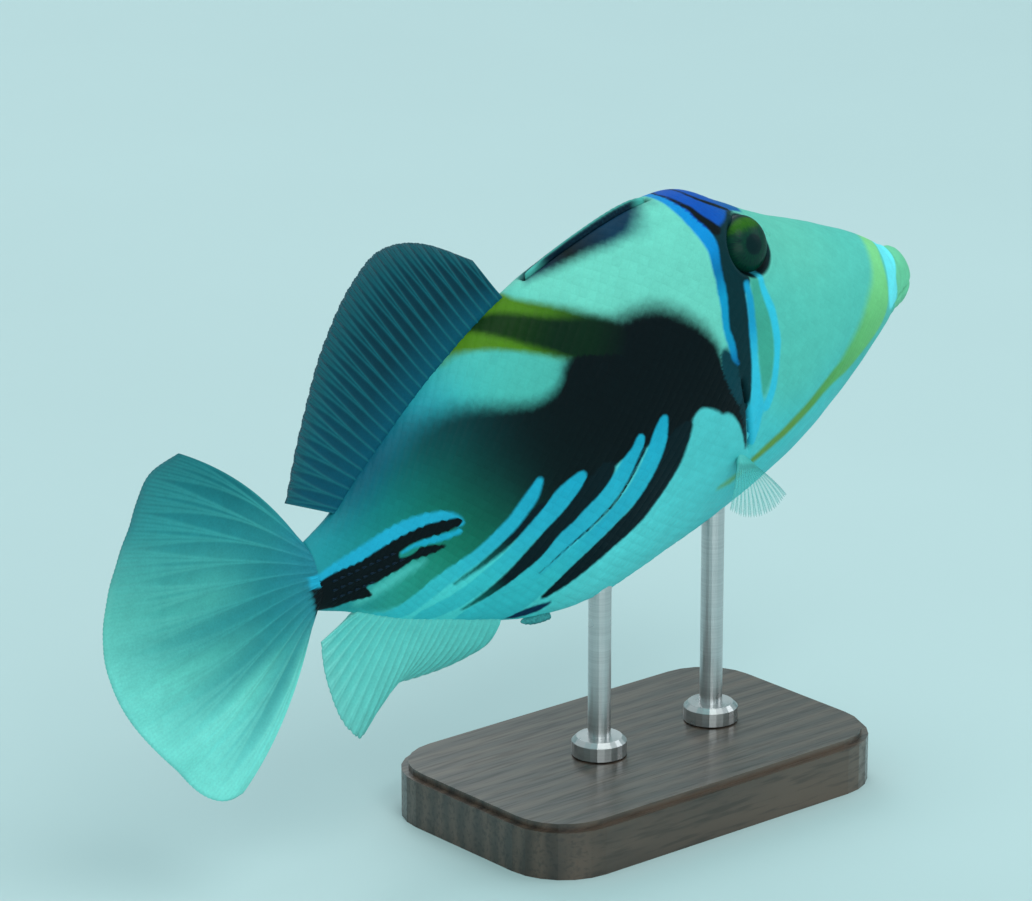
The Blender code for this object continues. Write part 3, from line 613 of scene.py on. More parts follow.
markings = {
    "gold": [
        areaMark(0.35, [(-3, -20), (7.2, -20), (7.6, -3.7), (7.7, 0), (8.2, 3.8), (6.9, 5.5), (6.1, 7.3),
            (5.3, 8.9), (5.8, 11), (6.5, 20), (-3, 20)], [(0, 0, "lips")]),
        areaMark(0.8, [(7.6, 14.5, 0.6), (10.6, 11.5, 0.6), (11.7, 9.9, 0.6), (12.4, 5.8, 0.6),
            (12.9, 1.2, 0.6), (13.3, -1.1, 0.7), (15.8, -5), (22, -7.1), (28, -9.4), (34, -9.3),
            (38, -10.9, 0.9), (40.5, -10.6, 1), (37, -7.2, 1.2), (33.5, -5.2, 1.4), (28.8, -1.9, 1.7),
            (24.5, 1.5, 1.9), (21.4, 5.1, 1.9), (18.1, 8.3, 1.8), (15.9, 11.6, 1.6), (13.9, 15.4, 1.3),
            (9.5, 17)],
            [(11, 14, "yellowTop"), (14, 8, "yellowTop"), (16, 2, "yellow"), (20, -2, "yellow"),
             (26, -5, "yellowRear"), (34, -7.5, "yellowRear"), (42, -11, "ochre")]),
        sideLine(0.95, [(30, -5.6, 1.5), (34.5, -7.1, 1.8), (38.5, -9.1, 1.8), (42.5, -11.1, 1.75),
            (46.5, -13.1, 1.65), (51.2, -15.2, 1.5), (56.2, -16.9, 1.4), (59.5, -17.9, 1.1)],
            "yellowRear", "ochre", "orange", "orange"),
        sideLine(1, [(56.9, 24.5, 1.4), (57, 20, 2.4), (56.9, 14, 2.8), (57, 8, 2.6), (57.8, 2, 1.7),
            (58.6, -1.1, 0.7)], "betweenLines"),
        areaMark(0.9, [(111.9, 38.6), (108.6, 37), (102.8, 34.3, 1.3), (97, 31, 2), (91, 27, 2.5),
            (96, 18, 2), (100, 21, 2), (107.1, 24.8, 1.3), (113.6, 28.2), (119.5, 30.6), (124.6, 31.6),
            (128, 31.6, 1), (131.5, 30, 1.2), (133, 34, 1.2), (122, 44, 1), (112, 46)],
            [(112, 38, "goldRim"), (106, 36, "goldRim"), (120, 33, "goldRim"), (126, 32, "goldRim"),
             (110, 27, "goldRim"), (116, 29, "goldRim"), (100, 24, "olive"), (97, 31, "olive")]),
        sideLine(1.2, [(63, -20, 0.8), (66, -20.6, 0.9), (69.3, -20.7, 0.5)], "orangeMark"),
    ],
    "dark": [
        areaMark(0.6, [(67.6, 2.6), (69.3, 8.6, 1), (69.9, 14.8, 1.5), (71.7, 18.6, 2.2), (74.2, 22.2, 2.6),
            (78.3, 26, 2.9), (83.1, 28.6, 3), (88.6, 29, 3), (94, 28.5, 2.6), (101, 26.5, 2.2),
            (107, 24, 1.6), (109, 20, 1.8), (114, 18, 2.2), (120.3, 19.4, 2.6), (128.2, 22, 3),
            (134.7, 23, 3.2), (143, 21.5, 4), (150, 16.5, 4.5), (158, 11.5, 5), (168, 7, 5), (174, 2, 5),
            (174, -8, 3), (164, -12, 2.2), (156.8, -15.3, 1.4), (150.4, -14.8, 1), (143.5, -12.4, 0.8),
            (136.1, -10.2, 0.8), (130, -8.2), (124, -6), (117, -5), (112, -4.5), (104, -3.5), (97, -1),
            (91, -0.5), (85, -1.5), (81, -1.6, 0.7), (78.6, 1.6, 0.7), (76.7, 2.7), (74.5, 1.8), (71.8, 0),
            (71, -1.3), (69.6, -1.2), (67.5, -3, 0.5), (66, -5.6, 0.5), (64.8, -8.2, 0.4), (63.8, -11, 0.4),
            (63.6, -5, 0.4), (65.4, -1.5, 0.5)], darkTones),
        sideLine(1.2, [(121, 35.4, 1.5), (118, 35.1, 2.4), (114.4, 33.7, 2.9), (111, 31.9, 3.2),
            (107.6, 30.1, 3.5), (103.8, 28.2, 4), (99, 26, 4.8), (92, 22, 5)],
            "goldDeep", "goldDeep", "olive", "olive", "black"),
        sideLine(0.45, [(62.9, 37.4, 0.9), (62.4, 35, 1.5), (62.3, 33, 2.3), (62.2, 30.8, 2.9),
            (62.4, 28.8, 3.1), (61.9, 26.4, 3.8), (62.9, 24.5, 3), (63.4, 20.3, 3), (63.8, 15.9, 3.1),
            (63.5, 11.2, 2.6), (63.6, 6.6, 2.3), (63.6, 2.6, 1.7), (64, -0.8, 1.5), (64.8, -3, 1.8),
            (64.5, -6, 1.1), (63.4, -10.7, 0.6), (62.9, -13.1, 0.35)], "bandBlack"),
        sideLine(0.5, [(61, 27, 1.8), (60.9, 31, 1.8), (60.9, 34.8, 2.1), (59.2, 37, 2), (55.4, 37.8, 1.1),
            (52.4, 37, 0.5)], "bandBlack"),
        sideLine(0.9, [(68.7, 12.1, 1.4), (67.9, 9.4, 2.5), (67.3, 5.6, 2.5), (66.4, 2.8, 2.2),
            (65.4, 0, 1.7)], "greyWedge"),
        sideLine(0.65, [(102.6, -0.6, 3.4), (104.3, -3.6, 3.8), (107.6, -6.4, 3.4), (110.3, -8.6, 3),
            (113.9, -11, 2.9), (117.2, -13.1, 2.8), (120.7, -15.4, 2.5), (124.1, -17.6, 2.1),
            (127.9, -19.6, 1.6), (131.8, -21.4, 1.1), (136.5, -23, 0.4)],
            "gapBlack", "gapBlack", "gapBlack", "gapBlack", "gapOlive"),
        sideLine(0.7, [(115.2, 1, 2.7), (116.4, -1.6, 2.4), (119.1, -4.3, 2.1), (122.5, -6.9, 1.8),
            (126, -9.1, 1.4), (130, -11.3, 1.1), (134.5, -13.2, 0.7), (139.5, -14.8, 0.4)],
            "gapBlack", "gapBlack", "gapOlive"),
        sideLine(0.55, [(82.4, -0.1, 3.3), (83.9, -3.4, 3.5), (85.7, -6.9, 3.5), (88.2, -10.2, 3.3),
            (90.9, -13.1, 3.2), (93.8, -16, 3), (97.4, -18.2, 3), (101.5, -20.3, 2.8), (105.3, -22.4, 2.7),
            (109.5, -24.6, 2.4), (113.3, -26.6, 1.7), (116.3, -28.1, 0.9)], "gapBlack"),
        sideLine(0.6, [(125.8, -30.2, 0.4), (122, -31.1, 1.3), (119.4, -31.2, 1.5), (117, -31.3, 1.3),
            (114.5, -31, 0.6)], "keelBlue"),
        ridgeMark(1.5, [(72.5, 0.2), (75, 3.6), (77.4, 5.2), (80.6, 5.8), (83.2, 5.7), (85.7, 5.5),
            (87.8, 5.1), (92.5, 4.4), (97.4, 3.7), (100.1, 3.2), (106, 1.6)],
            "ridgeTeal", "ridgeTeal", "rearInk", "ridgeTeal"),
        orbitMark(0.4, 7.1, "orbit"),
    ],
    "pale": [
        sideLine(0.4, [(86.6, 3.8, 1.1), (87.7, 1.2, 1.9), (88.9, -1.7, 2.3), (90.7, -4.7, 2.4),
            (93, -7.8, 2.4), (95.4, -10.5, 2.4), (99.3, -13.3, 2.3), (102.6, -15.4, 2.2),
            (106.6, -17.6, 2.3), (110.4, -19.7, 2.5), (113.9, -21.9, 2.6), (117.7, -24.3, 2.8),
            (121.4, -26.5, 3.2), (128, -29, 3.4)],
            "stripeTip", "stripeTop", "stripeTop", "stripeEnd", "stripeEnd"),
        sideLine(0.4, [(93, 1.8, 1.1), (93.9, -0.6, 1.8), (96.2, -3, 2.3), (98.5, -5.5, 2.4),
            (101.4, -8.2, 2.4), (105.5, -11, 2.6), (108.9, -13.1, 2.6), (112.9, -15.2, 2.6),
            (115.7, -17.4, 2.4), (119, -19.7, 2.4), (123.4, -22, 2.7), (128, -24.4, 3.2),
            (134, -26.5, 3.6)], "stripeTip", "stripeTop", "stripeTop", "stripeEnd", "stripeEnd"),
        sideLine(0.4, [(108.2, -1.2, 1.3), (110, -2.4, 2), (112.9, -4.1, 2.5), (115.9, -6.4, 2.4),
            (119.3, -8.7, 2.3), (122.5, -10.9, 2.2), (125.2, -13.1, 2.2), (129.7, -15.8, 2.4),
            (134.4, -18.3, 2.6), (139.1, -19.9, 2.6), (146, -21, 2.4)],
            "stripeTip", "stripeTop", "stripeEnd", "stripeEnd"),
        sideLine(0.5, [(118.4, 1.4, 1), (120.3, -1, 1.7), (122.9, -3.4, 1.8), (125.8, -5.8, 1.8),
            (129.6, -8, 1.8), (132.7, -9.6, 1.8), (138.4, -11.6, 2), (143.9, -13.4, 2.3), (151, -16.6, 2.4),
            (158, -17.5, 2)], "stripeTip", "stripeTop", "stripeEnd", "stripeEnd"),
    ],
    "blue": [
        sideLine(0.45, [(66, 40.1, 1.6), (65.3, 38, 1.7), (64.9, 35.9, 1.6), (64.9, 33.9, 1.35),
            (65.4, 32, 1.15), (65.8, 29.9, 1.1), (66, 27.9, 1), (66.2, 25.8, 1.15), (66.5, 22.5, 1),
            (67, 19.4, 0.92), (67.2, 17.2, 0.85), (66.8, 14.8, 0.95), (66.4, 12.3, 0.9), (66.2, 10.4, 0.7),
            (65.5, 8.7, 0.3)],
            "blueHigh", "blueHigh", "borderBlue", "blueLow", "blueLow", "blueLow", "blueEnd"),
        crownLine(0.45, [(68.3, 0, 1.1), (67.5, 3.4, 1.2), (66.5, 6.6, 1.6), (66, 8.9, 1.6),
            (65.3, 10.8, 1.75)], "blueHigh"),
        areaMark(0.4, [(68, -2), (67.5, 3.4), (66.3, 6.6), (65.8, 8.9), (64.8, 11.2), (62.4, 11.5),
            (60, 11.2), (57.6, 10), (54.6, 6.9), (51, 5.4, 0.5), (47.4, 4.2, 0.6), (46.4, -2, 0.6)],
            [(64, 41, "royal"), (60, 40, "royal"), (49, 35, "crownTeal"), (44, 32, "crownTeal")], top=True),
        sideLine(0.5, [(59.5, 24.6, 0.8), (59.5, 21.1, 1), (59.9, 16.7, 1), (60.2, 12.1, 1.1),
            (60.6, 7.7, 1), (60.8, 3, 1.3), (60.9, -1.8, 1.9), (60.9, -4.3, 2.5), (61.1, -6.7, 2.2),
            (61, -9.3, 1.7), (61.1, -12.4, 0.9)], "lineTop", "lineTop", "lineBlue", "lineBlue", "lineBlue"),
        sideLine(0.45, [(54.9, 26.2, 0.8), (55, 22.6, 0.85), (54.3, 19, 1), (53.7, 16.5, 1.1),
            (53.4, 12.5, 1), (53.4, 9.4, 1.05), (54, 6, 0.9), (54.7, 2.9, 0.95), (55.9, -1.5, 1.1),
            (57.6, -4.8, 1.3)], "lineBlue"),
        areaMark(0.4, [(5.6, 12.5), (5.4, 8.9), (6.1, 7.3), (6.9, 5.5), (8, 3.8, 0.45), (7.8, 1.2, 0.5),
            (8.4, -2.6, 0.6), (11.8, -2, 0.6), (12.6, 1.2, 0.5), (12.5, 3.6), (11.7, 6.5), (10.8, 9.5),
            (10, 11.9), (7.6, 14.2)], [(9, 6, "snoutWhite")]),
        areaMark(0.5, [(174.5, 1.3), (171.3, 2), (167.7, 2.6), (162.2, 3.4), (156.9, 4.3), (152.1, 4.8),
            (147, 4.6), (142.4, 3.6), (139.2, 2.4), (136.6, -0.4), (137, -2, 0.4), (140.6, -0.8, 0.4),
            (147.7, 0.6, 0.35), (152.8, 0.6, 0.35), (160.5, -0.4, 0.35), (165.7, -0.8, 0.35),
            (170.5, -1, 0.35), (174.5, -2.2, 0.35)], [(150, 2, "stalkBlue")]),
        sideLine(0.45, [(152.6, -1.9, 0.35), (150.1, -1.6, 0.5), (145.7, -2, 0.8), (142, -2.5, 0.8),
            (138.2, -2.7, 0.6)], "stripeTip"),
        sideLine(1.6, [(163, -9.4, 1.2), (158.3, -8, 1.4), (154.7, -7.2, 1.4), (151.5, -6.6, 1.1),
            (147.8, -6.2, 0.5)], "palePatchRear"),
    ],
    "ink": [
        areaMark(0.3, [(174.5, -0.9), (172.1, 0.2), (168.1, 0.4), (165.7, 0.3), (162.5, 0.3), (159.3, 0.9),
            (156.1, 1.2), (152.9, 1.8), (146, 1.9), (140.8, 1.1), (137.6, 0.3), (136.8, -1.2),
            (140.9, -1.7), (144.9, -1.3), (148.9, -0.9), (152.4, -1.2), (153.6, -2), (153, -3.2),
            (150, -3.4), (148.2, -2.5), (145.3, -3.1), (141, -4.6), (143.8, -5.4), (148.1, -5),
            (150.5, -4.6), (153, -5.6), (156.1, -5.6), (159.2, -6.4), (162, -5.8), (161, -7.6),
            (159.8, -9.4), (163.3, -8.8), (166.1, -8.3), (168.2, -8.6), (171, -7.9), (174.5, -7.7)],
            [(150, 0, "black")]),
        sideLine(0.32, [(91.1, 1.6, 0.6), (91.9, -0.4, 0.55), (93.6, -2.8, 0.5), (95.5, -5.6, 0.45),
            (97.7, -8.3, 0.42), (100.3, -10.7, 0.38), (103.6, -12.9, 0.34), (107.6, -15, 0.3),
            (111.8, -17, 0.26), (115.6, -19, 0.2), (119.3, -21, 0.12)], "gapBlack"),
        crownLine(0.4, [(67.4, 0, 0.35), (66.4, 2.7, 0.45), (65.4, 5.3, 0.6), (64.5, 6.9, 0.7),
            (63.9, 9, 0.9), (62.8, 10.6, 1.1), (62.1, 11.6, 1.3)], "black"),
        crownLine(0.4, [(61.9, 0, 0.4), (61.3, 3.7, 0.5), (60.2, 5.4, 0.6), (58.5, 6.4, 0.75),
            (55.8, 6.6, 0.8), (53.4, 6.2, 0.6)], "black"),
    ],
}


# The base colour and the five layers of marks at places on either side
def paintAt(place):
    place = place * (1, 0, 1) + np.abs(place) * (0, 1, 0)
    values = {"tint": blendTones(baseTones, place[:, 0], place[:, 2])}
    for layer, marks in markings.items():
        edge = np.full(len(place), 6.0)
        colour = np.tile(tone("black"), (len(place), 1))
        for mark in marks:
            away, shade = mark(place)
            near = away < edge
            edge = np.where(near, away, edge)
            colour[near] = shade[near]
        values[layer] = np.clip(edge, -4, 6)
        if layer != "ink":
            values[layer + "Tint"] = colour
    return values


print("markings ready")

brush = {}  # the material being made: its node tree, shader and Object coordinates


# Sockets are linked and plain values set on the input itself
def setInputs(made, inputs):
    for key, value in inputs.items():
        if isinstance(value, bpy.types.NodeSocket):
            brush["tree"].links.new(value, made.inputs[key])
        else:
            made.inputs[key].default_value = value


# Adds a shader node and gives back one of its outputs
def addNode(kind, inputs, output=0, **settings):
    made = brush["tree"].nodes.new("ShaderNode" + kind)
    for key, value in settings.items():
        setattr(made, key, value)
    setInputs(made, inputs)
    return made.outputs[output]


# A new material, which the helpers below then add to
def startMaterial(name):
    material = bpy.data.materials.new(name)
    material.use_nodes = True
    brush["tree"] = material.node_tree
    brush["shader"] = material.node_tree.nodes["Principled BSDF"]
    brush["coords"] = addNode("TexCoord", {}, "Object")
    return material


# a x b, as values or sockets
def times(a, b):
    return addNode("Math", {0: a, 1: b}, operation="MULTIPLY")


# a + b
def plus(a, b):
    return addNode("Math", {0: a, 1: b}, operation="ADD")


# a to the power of b
def power(a, b):
    return addNode("Math", {0: a, 1: b}, operation="POWER")


# Colour a at factor 0 and b at 1
def mix(factor, a, b):
    return addNode("Mix", {0: factor, 6: a, 7: b}, 2, data_type="RGBA")


# A colour made lighter or darker
def scaleTone(colour, factor):
    return addNode("VectorMath", {0: colour, 3: factor}, operation="SCALE")


# A value stored with the mesh
def readValue(name):
    return addNode("Attribute", {}, "Fac", attribute_name=name)


# A colour stored with the mesh
def readTone(name):
    return addNode("Attribute", {}, "Color", attribute_name=name)


# Fractal noise in the object's own metres, or at places given
def noise(scale, detail=2.0, rough=0.5, at=None):
    return addNode("TexNoise", {"Vector": at or brush["coords"], "Scale": scale, "Detail": detail,
                                "Roughness": rough}, "Fac")


# The object's coordinates, scaled by axis
def stretch(*scale):
    return addNode("Mapping", {"Vector": brush["coords"], "Scale": scale})


# A value's range laid onto another and cut off at its ends
def mapRange(value, low, high, toLow, toHigh, kind="LINEAR"):
    return addNode("MapRange", {0: value, 1: low, 2: high, 3: toLow, 4: toHigh}, interpolation_type=kind)


# The same, level at both ends
def mapSmooth(value, low, high, toLow, toHigh):
    return mapRange(value, low, high, toLow, toHigh, "SMOOTHSTEP")


# A named colour for a socket
def plain(name):
    return (*tone(name), 1.0)


# Fills the shader's sockets, with a bump from a height, a strength and a distance
def finishMaterial(height, strength, distance, inputs):
    bump = addNode("Bump", {"Height": height, "Strength": strength, "Distance": distance})
    setInputs(brush["shader"], {"Normal": bump, **inputs})


paintFinish = {
    "edgeWander": 0.12, "speckle": 0.04, "mottle": 0.04, "grooveShade": 0.035,
    "roughness": 0.50, "specular": 0.07, "coat": 0.03, "coatRoughness": 0.30,
}


# Markings laid over each other where their edge values pass zero, with edges that wander a little,
# then speckle, mottling, painted shade in the grooves between the scales and painted shade in the skin's
# deep folds
def paintedMaterial(name, scaled):
    form = paintFinish
    material = startMaterial(name)
    wander = mapRange(noise(800.0, 3.0), 0.25, 0.75, -form["edgeWander"], form["edgeWander"])
    colour = readTone("tint")
    for layer in markings:
        mask = mapSmooth(plus(readValue(layer), wander), -1.0, 1.0, 1.0, 0.0)
        colour = mix(mask, colour, plain("black") if layer == "ink" else readTone(layer + "Tint"))
    fine = noise(2600.0, 3.0, 0.6)
    light = times(mapRange(fine, 0.3, 0.7, 1 - form["speckle"], 1 + form["speckle"]),
                  mapRange(noise(260.0, 2.0), 0.3, 0.7, 1 - form["mottle"], 1 + form["mottle"]))
    if scaled:
        groove = power(readValue("edge"), 2.0)
        light = times(light, readValue("shade"))
        light = times(light, mapRange(groove, 0, 1, 1.0, 1 - form["grooveShade"]))
    else:
        # painted shade in the skin's deep folds: lips, mouth, nostrils, gill opening, groove and orbit
        light = times(light, readValue("fold"))
    finishMaterial(plus(noise(1900.0, 3.0, 0.6), times(noise(700.0, 1.0), 0.6)), 0.35, 0.00012, {
        "Base Color": scaleTone(colour, light),
        "Roughness": mapRange(fine, 0.25, 0.75, form["roughness"] - 0.07, form["roughness"] + 0.1),
        "Specular IOR Level": form["specular"], "Coat Weight": form["coat"],
        "Coat Roughness": form["coatRoughness"]})
    return material


# Places from low to high that lie closer together where a weight is high
def crowdPlaces(count, weigh, low, high):
    fine = np.linspace(low, high, 4001)
    run = runSum(weigh((fine[1:] + fine[:-1]) / 2))
    return np.interp(np.linspace(0, run[-1], count), run, fine)


unwrapSize = 205  # millimetres of skin across the unwrap


# The unwrap of the skin: stations along the map, with the right half below and the left half above
def unwrapSpot(x, share, side):
    middle = np.where(side < 0, 0.25, 0.75)
    return stack(0.05 + x / unwrapSize, middle + side * (share - 0.5) * girthAt(x) / unwrapSize)


# One skin from lips to stalk: rings that lie closer at the snout, eye and gill opening, with points
# closer at the ridge and keel, and a rounded cap inside the tail fin's root
def makeSkin(material):
    form = skinForm
    lips = body["snoutRound"] * (1 - np.cos(np.linspace(0.05, pi / 2, form["snoutRings"])))

    def crowded(bells):
        return lambda at: 1 + sum(high * bell(at, middle, reach) for high, middle, reach in bells)

    rest = crowdPlaces(form["stations"], crowded(form["closeAlong"]), body["snoutRound"], form["end"])
    x = np.concatenate([lips, rest[1:]])
    half = crowdPlaces(form["round"] // 2 + 1, crowded(form["closeRound"]), 0, 1)
    w = np.concatenate([-half[::-1], half[1:-1]])
    grid = shapeSkin(x[:, None], w[None, :])
    paintPlace = bodyPoint(x[:, None], w[None, :])
    fold = 1 - 0.75 * easeStep(lengthOf(paintPlace - grid), 0.5, 1.4)  # painted shade: darker where the skin is pressed in deep
    spread = np.cos(np.linspace(0, pi / 2, form["capRings"] + 2)[1:-1])[:, None, None]
    centre = grid[-1].mean(0)
    cap = centre + (grid[-1] - centre) * spread
    cap[..., 0] = grid[-1][..., 0] + form["capDepth"] * np.sqrt(1 - spread[..., 0] ** 2)
    grid = np.concatenate([grid, cap])
    n, m = grid.shape[:2]
    tipPlace = (0.0, 0, body["snoutMiddle"])
    part = ringPart(grid, shapeSkin(0.0, 0.5) * (1, 0, 0) + (0.08, 0, body["snoutMiddle"]),
                    centre + (form["capDepth"], 0, 0))
    capPlace = np.tile(paintPlace[-1], (form["capRings"], 1))
    part["values"] = paintAt(np.concatenate([paintPlace.reshape(-1, 3), capPlace, [tipPlace],
                                             [paintPlace[-1].mean(0)]]))
    # fold carries the painted shade of the deep folds; the tail cap and the two pole points get none
    part["values"]["fold"] = np.concatenate([fold.ravel(), np.ones(form["capRings"] * m + 2)])
    station = np.concatenate([x, form["end"] + 4 * np.arange(1, form["capRings"] + 1) / form["capRings"]])
    spread = np.concatenate([np.ones(len(x)), spread[:, 0, 0]])
    shares = np.abs(np.concatenate([w, [1.0]])) - 0.5
    side = np.where(w < -1e-9, -1, 1)
    i, j = np.moveaxis(cellCorners(n - 1, m), -1, 0)
    near, far = shares[:-1], shares[1:]
    tip = np.stack([unwrapSpot(0.0, 0.5, side), unwrapSpot(x[0], 0.5 + far, side),
                    unwrapSpot(x[0], 0.5 + near, side)], 1)
    tip[:, 0, 1] = tip[:, 1:, 1].mean(1)
    rear = np.stack([unwrapSpot(form["end"] + 5, 0.5, side),
                     unwrapSpot(form["end"] + 4, 0.5 + near * spread[-1], side),
                     unwrapSpot(form["end"] + 4, 0.5 + far * spread[-1], side)], 1)
    quads = unwrapSpot(station[i], 0.5 + shares[j] * spread[i], side[j[:, :1]])
    part["uv"] = np.concatenate([quads.reshape(-1, 2), tip.reshape(-1, 2), rear.reshape(-1, 2)])
    addPiece("skin", part, material, ("upper_lip", "lower_lip", "head", "trunk", "tail_stalk"))


coat = {
    "seed": 7,
    "pitch": [(8, 1.45), (30, 1.9), (58, 2.15), (66, 2.6), (100, 2.85), (130, 2.7), (150, 2.2), (173, 1.7)],
    "span": (8.2, 171.0),
    "height": [(8, 0.016), (58, 0.024), (66, 0.034), (150, 0.036), (173, 0.030)],
    "heightSpread": 0.15, "lean": 0.005, "sunk": 0.004, "rearLift": 0.006, "shade": 0.028,
    "plate": 0.70,  # share of a scale that is its flat top
    "cornerRound": 0.94,
    "patch": 0.0015,  # half the breadth of a scale's patch on the unwrap
    "hold": (0.04, 0.03, 0.13),  # how far corners take the middle's colour, and what flank and rear add
    "pieces": {"Head": (0, 64), "Shoulder": (64, 100), "Flank": (100, 135), "Rear": (135, 180)},
}


# Centres of the scales on one side: a diamond lattice of stations by arc lengths from the mid line
def scaleCentres():
    fine = np.linspace(*coat["span"], 3001)
    pitch = smoothCurve(coat["pitch"], fine)
    run = runSum(2 / pitch[1:] * np.diff(fine))
    column = np.arange(int(run[-1]))
    x = np.interp(column, run, fine)
    i, j = np.meshgrid(column, np.arange(-90, 91), indexing="ij")
    keep = (i + j) % 2 == 0
    i, j = i[keep], j[keep]
    x = x[i]
    size = smoothCurve(coat["pitch"], x) / 2
    share = 0.5 + j * size / girthAt(x)
    inset = 0.3 * size / girthAt(x)
    keep = (share > inset) & (share < 1 - inset) & ~bareSpot(x, share)
    return x[keep], share[keep], size[keep]


# Round the eye, along the gill opening and the groove, at the pectoral fin's root and the nostrils
def bareSpot(x, share):
    place = bodyPoint(x, share)
    y, z = np.abs(place[:, 1]), place[:, 2]
    bare = eyeReach(place)[0] < eyeForm["bare"]
    behind, along = gillReach(x, z)
    bare |= (np.abs(behind - 0.1) < 0.75) & (along > -0.04) & (along < 1.04)
    start, end = skinForm["grooveSpan"]
    bare |= (y < 1.9) & (z > 20) & (x > start - 0.8) & (x < end + 0.6)
    spots = [skinForm["finLobe"]] + [(*spot, 1.3) for spot in skinForm["nostrils"]]
    for sx, sz, reach in spots:
        bare |= np.hypot(x - sx, z - sz) < reach
    return bare


# Each scale is a low plate of 4 by 4 faces turned onto its corner, with a flat underside
def makeCoat(material):
    random = np.random.default_rng(coat["seed"])
    x, share, size = scaleCentres()
    line = np.array([-1, -coat["plate"], 0, coat["plate"], 1])
    s, t = (a.ravel() for a in np.meshgrid(line, line, indexing="ij"))
    corner = (np.abs(s) == np.abs(t)) & (s != 0)
    shrink = np.where(corner, coat["cornerRound"], 1.0)
    ahead, across = (s + t) / 2 * shrink, (s - t) / 2 * shrink
    border = np.maximum(np.abs(s), np.abs(t))
    edge = np.where(border > 0.9, 1.0, np.where(border > 0.1, 0.35, 0.0))
    quads = (cellCorners(4, 4) @ (5, 1)).ravel()
    under = np.array([0, 1, 2, 3, 4, 9, 14, 19, 24, 23, 22, 21, 20, 15, 10, 5])[::-1]
    patch = stack(ahead, across) * coat["patch"]
    for side, word in sides:
        for name, (start, end) in coat["pieces"].items():
            pick = np.flatnonzero((x >= start) & (x < end))
            count = len(pick)
            sx, sh, sz = x[pick, None], share[pick, None], size[pick, None]
            vx = sx + ahead * sz
            vs = sh + across * sz / girthAt(sx)
            inset = 0.10 / girthAt(sx)  # scales are squeezed where they meet the ridge and the keel
            vs = np.where(vs < inset, inset + (vs - inset) * 0.04, vs)
            vs = np.where(vs > 1 - inset, 1 - inset + (vs - 1 + inset) * 0.04, vs)
            vs = np.clip(vs, 0.0005, 0.9995)
            top = smoothCurve(coat["height"], sx)
            top = top * random.uniform(1 - coat["heightSpread"], 1 + coat["heightSpread"], (count, 1))
            lean = random.uniform(-coat["lean"], coat["lean"], (count, 1))
            top = top * (1 + 0.15 * (border < 0.1)) + coat["rearLift"] * ahead * 1.2 + lean * across * 2
            rise = np.where(border > 0.9, -coat["sunk"], top)
            points = shapeSkin(vx, vs * side) + bodyNormal(vx, vs * side) * rise[..., None]
            head, flank, rear = coat["hold"]
            hold = head + flank * easeStep(sx, 66, 72) + rear * easeStep(sx, 135, 139)
            values = paintAt(bodyPoint(vx + (sx - vx) * hold, vs + (sh - vs) * hold).reshape(-1, 3))
            values["edge"] = np.tile(edge, count)
            values["shade"] = np.repeat(1 + random.uniform(-coat["shade"], coat["shade"], count), 25)
            root = unwrapSpot(x[pick], share[pick], side)[:, None, :]
            spots = np.concatenate([root + patch[quads], root + patch[under] * 0.02 + 0.0017], 1)
            addPiece(f"scales{name}{word}", {
                "points": points.reshape(-1, 3),
                "corners": (np.concatenate([quads, under]) + np.arange(count)[:, None] * 25).ravel(),
                "sizes": np.tile([4] * 16 + [16], count),
                "uv": spots.reshape(-1, 2),
                "values": values,
                "flat": np.tile([False] * 16 + [True], count),
            }, material, ())


makeSkin(paintedMaterial("skinPaint", scaled=False))
makeCoat(paintedMaterial("scalePaint", scaled=True))
print("skin and scales made")


# Rays counted across a fin, 0 to 1 at u: a bell at each ray's middle, whose phase folds outward once
# for each fork, so one ray becomes two and then four
def rayRidge(count, u, v, forks, width):
    phase = np.abs((u * count) % 1 - 0.5) + 0 * v
    for start, offset in forks:
        phase = np.abs(phase - offset * easeStep(v, start, 1.0))
    return np.maximum(bell(phase, 0, width), bell(np.minimum(u, 1 - u) * count, 0, width * 1.6))


# Fin colours by share of the ray length and of the fin's breadth, from rows of named colours
def finTones(rows, u, v):
    table = np.stack([coloursAlong(names, np.ravel(u)) for names in rows], 1)
    at = np.clip(v, 0, 1) * (len(rows) - 1)
    low = np.clip(at.astype(int), 0, len(rows) - 2)
    part = (at - low)[..., None]
    column = np.arange(len(table))[:, None] + 0 * low
    return table[column, low] * (1 - part) + table[column, low + 1] * part


# Colours and solidity: film by share of the ray, more solid on the rays and whole at the root
def finValues(form, u, v, ridge):
    film = np.interp(np.clip(v, 0, 1), np.linspace(0, 1, len(form["film"])), form["film"])
    solid = film + (form["raySolid"] - film) * ridge * (1 - 0.45 * np.clip(v, 0, 1) ** 2)
    root = easeStep(-v * form["rootScale"], -1.6, 0.0)
    solid = np.maximum(solid, 0.97 * root)
    return {"ray": ridge * (1 - 0.3 * np.clip(v, 0, 1)), "solid": np.clip(solid, 0, 1),
            "tint": finTones(form["tones"], u, v), "rayTint": finTones(form["rayTones"], u, v)}


